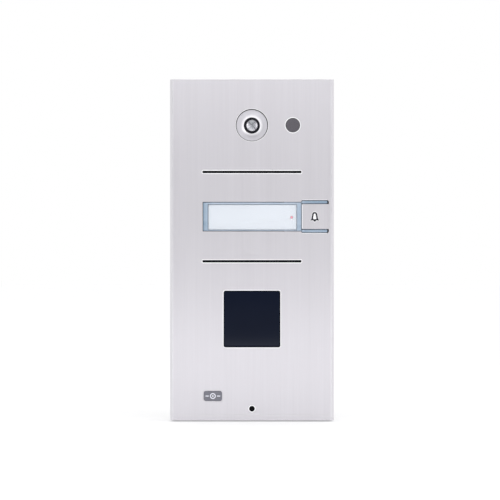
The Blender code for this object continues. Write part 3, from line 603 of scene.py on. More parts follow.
def guide_acrylic():
    """Pale blue acrylic, painted as lit round the label, with painted shade at its left end and
    in the slots beside the button.
    """
    s = Surface("guide_acrylic", Coat_Weight=0.25, Coat_Roughness=0.15, IOR=1.49)
    streak = s.noise((90, 90, 260), detail=3.0)
    fine = s.noise(900)
    along = s.range(s.split(s.place(1))[0], 0.0, 1.0, GUIDE_LOW.x, BUTTON_ROOT)
    # Painted light and shade: darker at the left end, paler round the label, and darker again in
    # the slots beside the button.
    painted_light_and_shade = s.ramp(along, (0.0, 0.2), (0.08, 0.8), (0.72, 0.8), (0.76, 0.55), (0.79, 0.5),
                 (0.81, 0.25))
    tone = s.math("ADD", s.range(streak, -0.35, 0.35), painted_light_and_shade)
    s.colour(s.mix(tone, (0.20, 0.30, 0.41), (0.52, 0.60, 0.71)))
    s.roughness(s.range(fine, 0.22, 0.36))
    s.bump(fine, 0.05, 0.02 * MM)
    return s.material


def clear_cover(name, alpha=0.10):
    """Clear moulding, with a faint haze."""
    s = Surface(name, IOR=1.49)
    haze = s.noise(300, detail=4.0)
    s.colour(s.mix(haze, (0.80, 0.86, 0.92), (0.92, 0.95, 0.98)))
    s.roughness(s.range(haze, 0.03, 0.08))
    s.shader.inputs["Alpha"].default_value = alpha
    return s.material


def dark_window(name, colour, lift, roughness=0.06, specular=0.5):
    """Polished dark plastic that lets no light out, with faint depth and dust."""
    s = Surface(name, IOR=1.47, Specular_IOR_Level=specular)
    depth = s.noise(45, detail=2.0)
    dust = s.noise(2600, detail=1.0)
    speck = s.ramp(dust, (0.70, 0.0), (0.82, 1.0))
    base = s.mix(depth, colour, tuple(c * lift for c in colour))
    s.colour(s.mix(s.math("MULTIPLY", speck, 0.02), base, (0.3, 0.3, 0.33)))
    s.roughness(s.range(dust, roughness, roughness + 0.05))
    return s.material


def woven_gauze():
    """Black acoustic cloth with an even weave."""
    s = Surface("woven_gauze", Specular_IOR_Level=0.2)
    weave = s.node("ShaderNodeTexChecker")
    weave.inputs["Scale"].default_value = 1.0
    s.link(s.place(3300), weave.inputs["Vector"])
    fine = s.noise(2500)
    s.colour(s.mix(weave.outputs["Fac"], (0.003, 0.003, 0.005), (0.011, 0.011, 0.015)))
    s.roughness(s.range(fine, 0.8, 0.95))
    s.bump(weave.outputs["Fac"], 0.5, 0.05 * MM)
    return s.material


def circuit_board():
    """Green solder resist over copper tracks that run in straight lanes."""
    s = Surface("circuit_board", Coat_Weight=0.4, Coat_Roughness=0.2)
    lanes = s.node("ShaderNodeTexBrick")
    for socket, value in (("Color1", (0, 0, 0, 1)), ("Color2", (1, 1, 1, 1)),
                          ("Mortar", (0.5, 0.5, 0.5, 1)), ("Scale", 1.0), ("Mortar Size", 0.06),
                          ("Brick Width", 7.0), ("Row Height", 0.55)):
        lanes.inputs[socket].default_value = value
    across, _, height = s.split(s.place(1000))
    upright = s.node("ShaderNodeCombineXYZ")
    s.link(height, upright.inputs["X"])
    s.link(across, upright.inputs["Y"])
    s.link(upright.outputs[0], lanes.inputs["Vector"])
    cloud = s.noise(35, detail=3.0)
    ground = s.mix(cloud, (0.010, 0.085, 0.035), (0.020, 0.135, 0.055))
    s.colour(s.mix(s.math("MULTIPLY", lanes.outputs["Color"], 0.45), ground, (0.06, 0.26, 0.10)))
    s.roughness(s.range(cloud, 0.28, 0.42))
    s.bump(lanes.outputs["Color"], 0.15, 0.04 * MM)
    return s.material


def lamp_plastic():
    """Diffused red lamp."""
    s = Surface("lamp_plastic", Emission_Strength=0.25)
    cloud = s.noise(1200)
    s.colour(s.mix(cloud, (0.78, 0.16, 0.24), (0.90, 0.34, 0.40)))
    s.shader.inputs["Emission Color"].default_value = (0.95, 0.35, 0.42, 1)
    s.roughness(s.range(cloud, 0.25, 0.4))
    return s.material


STEEL = satin_steel()
# The bezel's silver carries painted shade towards its rim.
SILVER = turned_silver(CAMERA, dark=0.53, pale=0.98, roughness=0.42, inner=5.2 * MM,
                       outer=6.9 * MM)
DIFFUSER = faceted_silver(CAMERA)
BLACK_PLASTIC = moulded("black_plastic", (0.022, 0.022, 0.026), Specular_IOR_Level=0.3)
GLOSS_BLACK = moulded("gloss_black", (0.010, 0.010, 0.015), roughness=0.22, bump=0.03,
                      Specular_IOR_Level=0.2)
GREY_PLASTIC = moulded("grey_plastic", (0.17, 0.17, 0.19))
BADGE_GREY = moulded("badge_grey", (0.170, 0.170, 0.205), roughness=0.35, lift=1.1, bump=0.05)
BLUE_PLASTIC = moulded("blue_plastic", (0.05, 0.16, 0.42), roughness=0.35)
GREEN_PLASTIC = moulded("green_plastic", (0.03, 0.28, 0.10), roughness=0.4)
CHIP = moulded("chip_black", (0.018, 0.018, 0.019), roughness=0.42)
INK = moulded("mark_ink", (0.020, 0.018, 0.028), roughness=0.6, bump=0.05,
              Specular_IOR_Level=0.15)
RUBBER = rubber("black_rubber")
ZINC = plain_metal("zinc_steel", (0.52, 0.53, 0.55))
TIN = plain_metal("tinned_steel", (0.66, 0.66, 0.65), 0.28)
BRASS = plain_metal("brass", (0.70, 0.50, 0.20), 0.3)
COPPER = plain_metal("copper", (0.74, 0.36, 0.18), 0.35, (300, 300, 2000))
GOLD = plain_metal("gold_pad", (0.83, 0.62, 0.24), 0.3)
MAGNET = plain_metal("magnet", (0.11, 0.11, 0.12), 0.5)
CASTING = painted_casting()
PAINTED_BLACK = moulded("painted_black", (0.030, 0.030, 0.033), roughness=0.38, bump=0.2)
PAPER = moulded("pressed_paper", (0.028, 0.028, 0.029), roughness=0.85, grain=1400, bump=0.4)
CERAMIC = moulded("ceramic", (0.36, 0.27, 0.18), roughness=0.45)
IVORY = moulded("ivory_plastic", (0.72, 0.69, 0.60), roughness=0.4, lift=1.08)
CARD = label_card()
ACRYLIC = guide_acrylic()
CLEAR = clear_cover("clear_cover")
LENS_CLEAR = clear_cover("lens_clear", 0.22)
READER_GLOSS = dark_window("reader_gloss", (0.0042, 0.0066, 0.0160), 1.4, specular=0.08)
SENSOR_GREY = dark_window("sensor_grey", (0.092, 0.086, 0.100), 1.15, 0.25, 0.35)
GAUZE = woven_gauze()
BOARD = circuit_board()
LAMP = lamp_plastic()
# Near-white material that paints highlights round the openings, along the tongue's end and round
# the bell.
PAINTED_HIGHLIGHT = moulded("painted_highlight", (0.93, 0.93, 0.95), roughness=0.5, lift=1.02, bump=0.05)
MARK_WHITE = moulded("mark_white", (0.78, 0.78, 0.88), roughness=0.35, lift=1.03, bump=0.03)


# ---- Cover sheet and call button ----

def sheet_outline():
    """The U of the bent sheet, seen from above."""
    left, right = SHEET_LOW.x, SHEET_HIGH.x
    back = SHEET_HIGH.y
    inner = BEND_RADIUS - SHEET
    outer_left = arc(left + BEND_RADIUS, FRONT + BEND_RADIUS, BEND_RADIUS, 180, 270, 12)
    outer_right = arc(right - BEND_RADIUS, FRONT + BEND_RADIUS, BEND_RADIUS, 270, 360, 12)
    inner_right = arc(right - BEND_RADIUS, FRONT + BEND_RADIUS, inner, 360, 270, 4)
    inner_left = arc(left + BEND_RADIUS, FRONT + BEND_RADIUS, inner, 270, 180, 4)
    return ([(left, back)] + outer_left + outer_right + [(right, back), (right - SHEET, back)]
            + inner_right + inner_left + [(left + SHEET, back)])


def highlighted_openings(grow):
    """Outlines of the openings that have a painted highlight round them, grown by a margin."""
    sensor_hole = 4.5 * MM
    microphone_hole = 1.75 * MM
    slot_half = 30.5 * MM + grow
    slot_rise = 0.75 * MM + grow
    outlines = [circle(CAMERA.x, CAMERA.z, CAMERA_HOLE + grow / 2, 96),
                circle(SENSOR.x, SENSOR.z, sensor_hole + grow, 64),
                circle(MICROPHONE.x, MICROPHONE.z, microphone_hole + grow, 40),
                node_outline("reader_window", GAP + grow, 1.2 * MM + grow)]
    for node in ("speaker_gauze_upper", "speaker_gauze_lower"):
        slot = middle(node)
        outlines.append(rounded_rectangle(-slot_half, slot_half, slot.z - slot_rise,
                                          slot.z + slot_rise, 0.3 * MM + grow, 3))
    return outlines


def slot_strips(grow):
    """Outlines of the painted highlight strips above and below the button's two slots."""
    width = 0.3 * MM
    left = NAME_RIGHT + 0.4 * MM - grow
    right = BUTTON_ROOT - 1.2 * MM + grow
    above = TONGUE_HIGH.z + BUTTON_SLOT
    below = TONGUE_LOW.z - BUTTON_SLOT
    return [rectangle(left, right, low - grow, high + grow)
            for low, high in ((above, above + width), (below - width, below))]


def painted_highlight_rings():
    """Painted highlights: near-white rings round each opening, and strips by the button's slots.
    """
    rings = [panel_piece("edge", [strip], FRONT, FRONT + EDGE_DEPTH) for strip in slot_strips(0)]
    for outer, inner in zip(highlighted_openings(EDGE_WIDTH), highlighted_openings(0)):
        rings.append(panel_piece("edge", [outer, inner], FRONT, FRONT + EDGE_DEPTH))
    dress(joined("painted_highlight_rings", rings), PAINTED_HIGHLIGHT, "cover")


def cover_sheet():
    """The bent stainless sheet with every opening, its edges lightly broken."""
    sheet = upright_piece("cover_sheet", [sheet_outline()], SHEET_LOW.z, SHEET_HIGH.z)
    ahead = FRONT - PAST
    behind = SHEET_BACK + PAST
    name_opening = rounded_rectangle(NAME_LEFT, NAME_RIGHT, NAME_BOTTOM, NAME_TOP, 0.25 * MM, 3)
    button_opening = rounded_rectangle(NAME_RIGHT - GAP, BUTTON_ROOT, TONGUE_LOW.z - BUTTON_SLOT,
                                       TONGUE_HIGH.z + BUTTON_SLOT, 1.2 * MM)
    cutters = [panel_piece("cut", [outline], ahead, behind)
               for outline in [name_opening, button_opening] + highlighted_openings(0)]
    cutters.append(panel_piece("pocket", [node_outline("badge", GAP, 1.6 * MM)], ahead,
                               FRONT + 0.8 * MM))
    chamfer = 4 * MM
    back, top = SHEET_HIGH.y, SHEET_HIGH.z
    corner = [(back + PAST, top + PAST), (back - chamfer - PAST, top + PAST),
              (back + PAST, top - chamfer - PAST)]
    for x in (SHEET_LOW.x, SHEET_HIGH.x):
        cutters.append(side_piece("corner", [corner], x - 5 * MM, x + 5 * MM))
    carve(sheet, cutters)
    # Shallow steps in the front that seat the painted highlight rings and strips.
    carve(sheet, [panel_piece("step", [outline], ahead, FRONT + EDGE_DEPTH + 0.02 * MM)
                  for outline in highlighted_openings(EDGE_WIDTH + 0.01 * MM)
                  + slot_strips(0.01 * MM)])
    soften(sheet, 0.11 * MM)
    stand_in(sheet, STEEL, "front_plate")


def weld_studs():
    """The four studs on the back of the sheet, each past the end of its nut."""
    radius, flange = 1.5 * MM, 2.6 * MM
    pitch, depth = 0.5 * MM, 0.22 * MM
    root = SHEET_BACK + 0.02 * MM
    studs = []
    for number in range(1, 5):
        node = f"carrier_nut_{number}"
        place = middle(node)
        nut_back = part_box(node)[1].y
        end = nut_back + 0.4 * MM
        profile = [(0, root), (flange, root), (flange, SHEET_BACK + 0.6 * MM),
                   (radius, SHEET_BACK + 0.9 * MM)]
        y = SHEET_BACK + 1.2 * MM
        while y < nut_back - 0.6 * MM:
            profile += [(radius, y), (radius - depth, y + pitch / 2)]
            y += pitch
        profile += [(radius - 0.3 * MM, end), (0, end)]
        studs.append(turned("stud", profile, place.x, place.z, 24))
    dress(joined("weld_studs", studs), TIN, "cover")


def button_tongue():
    """The pressed tongue. Its root stays sharp, so it reads as one sheet with the cover."""
    radius = 0.35 * MM
    rim = 0.16 * MM
    root_gap = 0.045 * MM
    left, right = TONGUE_LOW.x, BUTTON_ROOT - root_gap
    low, high = TONGUE_LOW.z, TONGUE_HIGH.z
    outline = ([(right, low), (right, high)]
               + arc(left + radius, high - radius, radius, 90, 180, 5)
               + arc(left + radius, low + radius, radius, 180, 270, 5))
    tongue = panel_piece("button_tongue", [outline], FRONT, SHEET_BACK)
    shape = bmesh.new()
    shape.from_mesh(tongue.data)
    edges = [edge for edge in shape.edges if edge.calc_face_angle(0) > radians(60)
             and min(vert.co.x for vert in edge.verts) < right - root_gap / 2]
    bmesh.ops.bevel(shape, geom=edges, offset=rim, segments=2, profile=0.5, affect="EDGES")
    shape.to_mesh(tongue.data)
    shape.free()
    # A shallow step at the free end seats the painted highlight strip.
    lip = left + 0.4 * MM
    step = rectangle(left - PAST, lip, low + radius, high - radius)
    carve(tongue, [panel_piece("step", [step], FRONT - PAST, FRONT + EDGE_DEPTH)])
    smooth(tongue, 30)
    for polygon in tongue.data.polygons:
        polygon.use_smooth = abs(polygon.normal.y) < 0.999
    stand_in(tongue, STEEL, "call_button")
    # Painted highlight: a near-white strip along the tongue's free end.
    play = 0.01 * MM
    edge = block("tongue_highlight_strip", (left, FRONT, low + radius + play),
                 (lip - play, FRONT + EDGE_DEPTH - play, high - radius - play), 0.03 * MM)
    dress(edge, PAINTED_HIGHLIGHT, "call_button_body")


def bell_side(grow, mouth, foot):
    """The right side of a bell, from its crown down to its mouth, round the bell's middle."""
    crown = 3.02 * MM + grow
    half_crown = 1.62 * MM + grow
    shoulder = 1.35 * MM
    slope = 0.60 * MM
    flare_top = -0.95 * MM
    steps = 14
    side = []
    for i in range(steps + 1):
        angle = pi / 2 * i / steps
        side.append((half_crown * sin(angle) ** 0.92, shoulder + (crown - shoulder) * cos(angle)))
    for i in range(1, steps + 1):
        height = shoulder + (mouth - shoulder) * i / steps
        fall = (shoulder - height) / (shoulder + 2.1 * MM)
        flare = max(0.0, (flare_top - height) / (1.15 * MM))
        side.append((half_crown + slope * fall + foot * flare ** 1.5, height))
    return side


def mirrored(points):
    """The same points on the left."""
    return [(-x, z) for x, z in points]


def on_button(points, scale=1.0):
    """Points round the bell's middle, moved to their place on the button."""
    return [(BELL.x + x * scale, BELL.z + z * scale) for x, z in points]


def bell_print():
    """A plain bell: a bold outline with an open middle, flared feet and a clapper."""
    stroke = 0.98 * MM
    hollow = -1.05 * MM
    clapper = 0.80 * MM
    outer = bell_side(0.0, -2.15 * MM, 0.50 * MM)
    inner = bell_side(-stroke, hollow, 0.0)
    lower = [(outer[-1][0] - 0.1 * MM, -2.32 * MM), (clapper + 0.35 * MM, -2.02 * MM)]
    tip = arc(0, -2.12 * MM, clapper, 350, 190, 10)
    outline = outer[::-1] + mirrored(outer[1:]) + mirrored(lower) + tip[::-1] + lower[::-1]
    bottom = [(inner[-1][0] * cos(pi * i / 8), hollow - 0.42 * MM * sin(pi * i / 8))
              for i in range(1, 8)]
    hole = inner + bottom + mirrored(inner[1:])[::-1]
    sunk = FRONT + 0.05 * MM
    bell = panel_piece("bell_print", [on_button(outline), on_button(hole)], FRONT - 0.012 * MM,
                       sunk)
    stand_in(bell, INK, "bell_mark")
    # Painted highlight: a near-white layer under the ink, showing as a halo round the bell and in
    # its open middle.
    fill = panel_piece("bell_painted_halo", [on_button(outline, 1.12)], FRONT - 0.006 * MM, sunk)
    dress(fill, PAINTED_HIGHLIGHT, "call_button_body")


# ---- Camera and light sensor ----

def camera_bezel():
    """A dished satin bezel. Its rim is flat and its middle falls away towards the lens."""
    rim = 9.56 * MM
    throat = 5.0 * MM
    lip = 0.12 * MM
    front = FRONT + 0.3 * MM
    _, back, flange = round_node("camera_bezel")
    flange_front = SHEET_BACK + GAP
    flange_back = flange_front + 1.3 * MM
    dish_edge = rim - 0.5 * MM
    dish_width = dish_edge - throat - 0.1 * MM
    dish_depth = 1.25 * MM
    steps = 16
    dish = []
    for i in range(steps + 1):
        share = i / steps
        dish.append((dish_edge - share * dish_width,
                     front + 0.1 * MM + dish_depth * share ** 1.8))
    profile = ([(rim, flange_front), (rim, front + lip)]
               + arc(rim - lip, front + lip, lip, 0, -90, 4)[1:] + [(rim - 0.4 * MM, front)]
               + dish + [(throat, dish[-1][1] + 0.1 * MM), (throat, back), (rim, back),
                         (rim, flange_back), (flange, flange_back), (flange, flange_front)])
    play = 0.14 * MM
    x, z = CAMERA.x - play / 2, CAMERA.z - play
    stand_in(turned("bezel_dish", profile, x, z, 128, 25), SILVER, "camera_bezel")
    # A black rubber seal fills the gap round the bezel: a real part, whose black also stands in
    # as painted shade in that gap.
    seal_front = FRONT + 0.7 * MM
    seal_inner = rim - 0.3 * MM
    seal_outer = CAMERA_HOLE - 0.02 * MM
    seal = [(seal_inner, seal_front), (seal_outer, seal_front),
            (seal_outer, flange_front - GAP), (seal_inner, flange_front - GAP)]
    dress(turned("bezel_shade_seal", seal, CAMERA.x, CAMERA.z, 96), RUBBER, "cover")


def lens_diffuser(reach, front, back):
    """A silver disc pressed into four facets that meet in a cross. The upper one leans back."""
    sides = 64
    centre_y = front + 1.35 * MM
    upper_depth, other_depth = 1.55 * MM, 0.45 * MM
    shape = bmesh.new()
    centre = shape.verts.new((CAMERA.x, centre_y, CAMERA.z))
    back_centre = shape.verts.new((CAMERA.x, back, CAMERA.z))
    quarter = sides // 4
    for k in range(4):
        depth = upper_depth if k == 0 else other_depth
        rim, foot = [], []
        for i in range(quarter + 1):
            angle = pi / 4 + k * pi / 2 + pi / 2 * i / quarter
            middle_share = sin(pi * i / quarter)
            x = CAMERA.x + reach * cos(angle)
            z = CAMERA.z + reach * sin(angle)
            rim.append(shape.verts.new((x, front + depth + 0.2 * MM * (1 - middle_share), z)))
            foot.append(shape.verts.new((x, back, z)))
        for i in range(quarter):
            shape.faces.new((centre, rim[i], rim[i + 1]))
            shape.faces.new((rim[i], foot[i], foot[i + 1], rim[i + 1]))
            shape.faces.new((back_centre, foot[i + 1], foot[i]))
        shape.faces.new((centre, back_centre, foot[0], rim[0]))
        shape.faces.new((centre, rim[-1], foot[-1], back_centre))
    bmesh.ops.remove_doubles(shape, verts=shape.verts, dist=0.000001)
    disc = from_bmesh("lens_diffuser", shape, 12)
    half = 0.13 * MM
    for lean in (-1, 1):
        along = Vector((1, 0, lean)).normalized() * reach * 1.1
        aside = Vector((-lean, 0, 1)).normalized() * half
        corners = (along + aside, -along + aside, -along - aside, along - aside)
        groove = [(CAMERA.x + corner.x, CAMERA.z + corner.z) for corner in corners]
        carve(disc, [panel_piece("groove", [groove], front, centre_y + 0.12 * MM)])
    return disc


def lens():
    """Black stepped barrel, a four-sided silver diffuser inside it and the clear dome."""
    front, back, radius = round_node("lens_barrel")
    pocket = 3.45 * MM
    floor_y = front + 1.75 * MM
    step = 0.18 * MM
    chamfer = 0.2 * MM
    ledge = 0.12 * MM
    profile = [(0, back), (radius - step, back), (radius, back - step),
               (radius, front + chamfer), (radius - chamfer, front),
               (pocket + 0.45 * MM, front), (pocket + 0.40 * MM, front + ledge),
               (pocket + ledge, front + ledge), (pocket, front + 0.28 * MM),
               (pocket, floor_y), (0, floor_y)]
    stand_in(turned("barrel_ring", profile, CAMERA.x, CAMERA.z, 96), GLOSS_BLACK, "lens_barrel")

    dress(lens_diffuser(pocket - 0.05 * MM, front, floor_y - 0.02 * MM), DIFFUSER, "cover")

    dome_radius = pocket - 0.08 * MM
    rim_front = front + 0.42 * MM
    crown = 0.40 * MM
    glass = 0.12 * MM
    outer = dome(dome_radius, rim_front, crown, 10)
    inner = dome(dome_radius - glass, rim_front + glass, crown - glass / 2, 10)[::-1]
    stand_in(turned("lens_dome", outer + inner, CAMERA.x, CAMERA.z, 64), LENS_CLEAR, "lens_glass")


def sensor_window():
    """The smoked window of the light sensor, with a soft rim and its hidden flange."""
    _, back, flange = round_node("light_sensor_window")
    rim = 4.36 * MM
    front = FRONT + 0.12 * MM
    flange_front = SHEET_BACK + GAP
    edge = arc(rim - 0.35 * MM, front + 0.35 * MM, 0.35 * MM, -90, 0, 6)
    profile = ([(0, front), (rim - 1.5 * MM, front)] + edge
               + [(rim, flange_front), (flange, flange_front), (flange, back), (0, back)])
    stand_in(turned("sensor_disc", profile, SENSOR.x, SENSOR.z, 96), SENSOR_GREY,
             "light_sensor_window")


# ---- Name window ----

def light_guide():
    """The acrylic frame round the label, with a raised rib in each slot beside the button."""
    front, back = GUIDE_LOW.y, GUIDE_HIGH.y
    bottom, top = NAME_BOTTOM + GAP, NAME_TOP - GAP
    corner = 0.3 * MM
    seam = front + 2 * MM
    frame_right = NAME_RIGHT - 0.05 * MM
    outer = rounded_rectangle(GUIDE_LOW.x, frame_right, bottom, top, corner, 3)
    pocket = node_outline("name_label", GAP, corner, 3)
    floor = rounded_rectangle(GUIDE_LOW.x, TONGUE_LOW.x - 0.1 * MM, bottom, top, corner, 3)
    pieces = [panel_piece("rim", [outer, pocket], front, seam, 0.2 * MM),
              panel_piece("tray", [floor], seam + 0.01 * MM, back, 0.1 * MM)]
    rib_right = GUIDE_HIGH.x - 0.5 * MM
    rib_back = SHEET_BACK + GAP + 0.5 * MM
    rib_height = BUTTON_SLOT - 2 * GAP
    inset = 0.2 * MM
    arm_left = 20 * MM
    for low, high in ((GUIDE_LOW.z, GUIDE_LOW.z + rib_height),
                      (GUIDE_HIGH.z - rib_height, GUIDE_HIGH.z)):
        rib = rounded_rectangle(frame_right + 0.1 * MM, rib_right, low, high, 0.85 * MM, 8)
        pieces.append(panel_piece("rib", [rib], front, rib_back, 0.2 * MM))
        arm = rectangle(arm_left, rib_right - inset, low + inset, high - inset)
        pieces.append(panel_piece("arm", [arm], rib_back + 0.01 * MM, back - inset, 0.1 * MM))
    stand_in(joined("guide_frame", pieces), ACRYLIC, "light_guide")


def name_window():
    """The card behind its clear cover, and the lamp that shows through both."""
    card = node_outline("name_label", 0, 0.3 * MM, 4)
    hole = circle(STATUS.x, STATUS.z, 0.95 * MM, 32)
    stand_in(node_panel("name_card", "name_label", [card, hole], 0.05 * MM), CARD, "name_label")
    stand_in(node_panel("name_cover", "name_window", [card], 0.15 * MM), CLEAR, "name_window")
    front, back, radius = round_node("status_led")
    lamp = [(0, front)] + [(radius * sin(angle), front + 0.35 * MM * (1 - cos(angle)))
                           for angle in (0.5, 1.0, pi / 2)] + [(radius, back), (0, back)]
    stand_in(turned("status_lamp", lamp, STATUS.x, STATUS.z, 24), LAMP, "status_led")


# ---- Reader window, badge and microphone ----

def reader_window():
    """A polished dark pane with a softened rim."""
    pane = node_outline("reader_window", 0, 1 * MM)
    stand_in(node_panel("reader_pane", "reader_window", [pane], 0.3 * MM), READER_GLOSS,
             "reader_window")


def badge():
    """A plain grey badge with a generic mark: a dot in a ring, with a dash on each side."""
    plate = node_outline("badge", 0, 1.3 * MM)
    stand_in(node_panel("badge_plate", "badge", [plate], 0.15 * MM), BADGE_GREY, "badge")
    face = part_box("badge")[0].y
    front = face - 0.01 * MM
    back = face + 0.1 * MM
    ring = [circle(BADGE.x, BADGE.z, radius, 48) for radius in (1.8 * MM, 1.2 * MM)]
    dot = circle(BADGE.x, BADGE.z, 0.5 * MM, 32)
    pieces = [panel_piece("ring", ring, front, back), panel_piece("dot", [dot], front, back)]
    dash_half = 0.3 * MM
    for side in (-1, 1):
        start, end = sorted((BADGE.x + side * 2.5 * MM, BADGE.x + side * 4.6 * MM))
        dash = rounded_rectangle(start, end, BADGE.z - dash_half, BADGE.z + dash_half,
                                 0.28 * MM, 5)
        pieces.append(panel_piece("dash", [dash], front, back))
    dress(joined("badge_mark", pieces), MARK_WHITE, "cover")


# ---- Shapes taken over from the frame ----

def copied(node):
    """A new piece with the node's own shape, its flat faces made whole."""
    shape = bmesh.new()
    shape.from_mesh(frame["nodes"][node].data)
    bmesh.ops.remove_doubles(shape, verts=shape.verts, dist=0.000001)
    bmesh.ops.dissolve_limit(shape, angle_limit=radians(0.5), verts=shape.verts,
                             edges=shape.edges)
    return from_bmesh(node + "_finished", shape)


def refined(node, material, width):
    """The node's own shape with every sharp edge broken."""
    stand_in(soften(copied(node), width), material, node)


def lathe(name, profile, origin, axis, sides=48):
    """A piece turned about an axis through the origin. Profile: (radius, distance along it)."""
    item = turned(name, profile, 0, 0, sides)
    turn = Vector((0, 1, 0)).rotation_difference(Vector(axis)).to_matrix().to_4x4()
    item.data.transform(Matrix.Translation(origin) @ turn)
    return item


def thread(radius, start, end, pitch=0.5 * MM, depth=0.22 * MM):
    """The crests and roots of a fine thread, as part of a turned profile."""
    points = []
    turns = int((end - start) / pitch)
    for i in range(turns):
        foot = start + i * pitch
        points += [(radius - depth, foot), (radius, foot + pitch / 2)]
    return points + [(radius - depth, end)]


# ---- Housing, hinge and locks ----

def hinge_rod():
    """A plain rod with a clip groove near each end."""
    low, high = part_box("hinge_rod")
    radius = (high.z - low.z) / 2
    length = high.x - low.x
    chamfer = 0.3 * MM
    groove = 0.25 * MM
    near, far = 1 * MM, 1.5 * MM
    profile = [(0, 0), (radius - chamfer, 0), (radius, chamfer), (radius, near),
               (radius - groove, near), (radius - groove, far), (radius, far),
               (radius, length - far), (radius - groove, length - far),
               (radius - groove, length - near), (radius, length - near),
               (radius, length - chamfer), (radius - chamfer, length), (0, length)]
    origin = (low.x, (low.y + high.y) / 2, (low.z + high.z) / 2)
    stand_in(lathe("hinge_rod_turned", profile, origin, (1, 0, 0)), ZINC, "hinge_rod")


def lock_screws():
    """Two socket set screws."""
    for side in ("left", "right"):
        node = "lock_screw_" + side
        low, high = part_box(node)
        place = middle(node)
        radius = (high.x - low.x) / 2
        length = high.z - low.z
        blunt = radius - 0.5 * MM
        profile = ([(0, 0), (blunt, 0)] + thread(radius, 0.3 * MM, length - 0.5 * MM)
                   + [(blunt, length), (0, length)])
        screw = lathe(node + "_threaded", profile, (place.x, place.y, low.z), (0, 0, 1))
        socket = circle(place.x, place.y, 0.8 * MM, 6)
        carve(screw, [upright_piece("socket", [socket], low.z - PAST, low.z + 2 * MM)])
        stand_in(screw, ZINC, node)


def cable_grommet():
    """A moulded bush with rounded lips and two sealing ridges in its bore."""
    front, back, flange = round_node("cable_grommet")
    neck = 7.7 * MM
    bore = 4.5 * MM
    lip = 0.35 * MM
    flange_back = front + 1.7 * MM
    ridge = 0.5 * MM
    ridge_height = 0.3 * MM
    profile = ([(bore, front + lip)] + arc(bore + lip, front + lip, lip, 180, 270, 4)[1:]
               + arc(flange - lip, front + lip, lip, -90, 0, 4)
               + arc(flange - lip, flange_back - lip, lip, 0, 90, 4)
               + [(neck, flange_back), (neck, back - lip), (neck - lip, back),
                  (bore + lip, back), (bore, back - lip)])
    for share in (0.65, 0.35):
        y = front + share * (back - front)
        profile += [(bore, y + ridge), (bore - ridge_height, y), (bore, y - ridge)]
    turned_node("cable_grommet", "_moulded", profile, RUBBER, 64)


# ---- Speaker and microphone ----

def speaker_basket():
    """A pressed basket with six windows."""
    front, back, outer = round_node("speaker_basket")
    place = middle("speaker_basket")
    neck = outer - 3 * MM
    seat = 13 * MM
    magnet_hole = 6 * MM
    metal = 0.5 * MM
    floor = back - 1.2 * MM
    flange_back = front + 1.8 * MM
    shoulder = front + 4.1 * MM
    profile = [(outer - 0.2 * MM, front), (outer, front + 0.2 * MM), (outer, flange_back),
               (neck, flange_back), (neck, shoulder), (seat, back), (magnet_hole, back),
               (magnet_hole, floor), (seat - 1 * MM, floor),
               (neck - metal, shoulder - 0.8 * MM), (neck - metal, front)]
    basket = turned("speaker_basket_pressed", profile, place.x, place.z, 96)
    inner_edge, outer_edge = 14.5 * MM, 20 * MM
    count = 6
    sweep = 38
    windows = []
    for i in range(count):
        start = 360 / count * i
        sector = (arc(place.x, place.z, outer_edge, start, start + sweep, 8)
                  + arc(place.x, place.z, inner_edge, start + sweep, start, 6))
        windows.append(panel_piece("window", [sector], shoulder - 0.5 * MM, back - 0.3 * MM))
    stand_in(carve(basket, windows), PAINTED_BLACK, "speaker_basket")


def speaker_cone():
    """A paper cone with a domed middle, a rippled face and a rolled edge."""
    _, back, rim = round_node("speaker_cone")
    paper = 0.35 * MM
    centre, cone, roll = 6 * MM, 8 * MM, rim - 3.5 * MM
    floor = back - 0.1 * MM
    face = dome(centre, floor, 2.4 * MM, 8)
    depth, ripple = 4.2 * MM, 0.12 * MM
    ripples = 24
    for i in range(ripples + 1):
        share = i / ripples
        face.append((cone + share * (roll - cone),
                     floor - share * depth + ripple * sin(share * 8 * pi)))
    edge_y = face[-1][1]
    for i in range(1, 9):
        angle = pi * i / 8
        face.append((roll + 1.5 * MM * (1 - cos(angle)), edge_y - 1.1 * MM * sin(angle)))
    face.append((rim, edge_y))
    rear = [(radius, y + paper) for radius, y in reversed(face)]
    turned_node("speaker_cone", "_paper", face + rear, PAPER, 96)


def speaker_magnet():
    """A ring magnet between two smaller plates, with a vent through it."""
    front, back, radius = round_node("speaker_magnet")
    plate = 1.2 * MM
    step = 0.5 * MM
    chamfer = 0.25 * MM
    vent = 2 * MM
    profile = [(vent, front), (radius - step, front), (radius - step, front + plate),
               (radius - chamfer, front + plate), (radius, front + plate + chamfer),
               (radius, back - plate - chamfer), (radius - chamfer, back - plate),
               (radius - step, back - plate), (radius - step, back - chamfer),
               (radius - step - chamfer, back), (vent + chamfer, back),
               (vent, back - chamfer)]
    turned_node("speaker_magnet", "_ring", profile, MAGNET, 96)


def microphone_boot():
    """A rubber sleeve with rounded lips."""
    front, back, outer = round_node("microphone_boot")
    bore = outer - 0.95 * MM
    profile = [(bore, front), (outer - LIP, front), (outer, front + LIP), (outer, back - LIP),
               (outer - LIP, back), (bore + LIP, back), (bore, back - LIP)]
    turned_node("microphone_boot", "_moulded", profile, RUBBER, 48)


def small_round_parts():
    """The flat microphone capsule and the domed photodiode and switch plunger."""
    for node, material, crown in (("microphone_capsule", GAUZE, 0.0),
                                  ("photodiode", LENS_CLEAR, 0.6 * MM),
                                  ("switch_plunger", GREY_PLASTIC, 0.15 * MM)):
        front, back, radius = round_node(node)
        if crown:
            face = dome(radius, front + crown, crown, 6)
        else:
            face = [(0, front), (radius - LIP, front), (radius, front + LIP)]
        profile = face + [(radius, back - LIP), (radius - LIP, back), (0, back)]
        turned_node(node, "_turned", profile, material, 48)


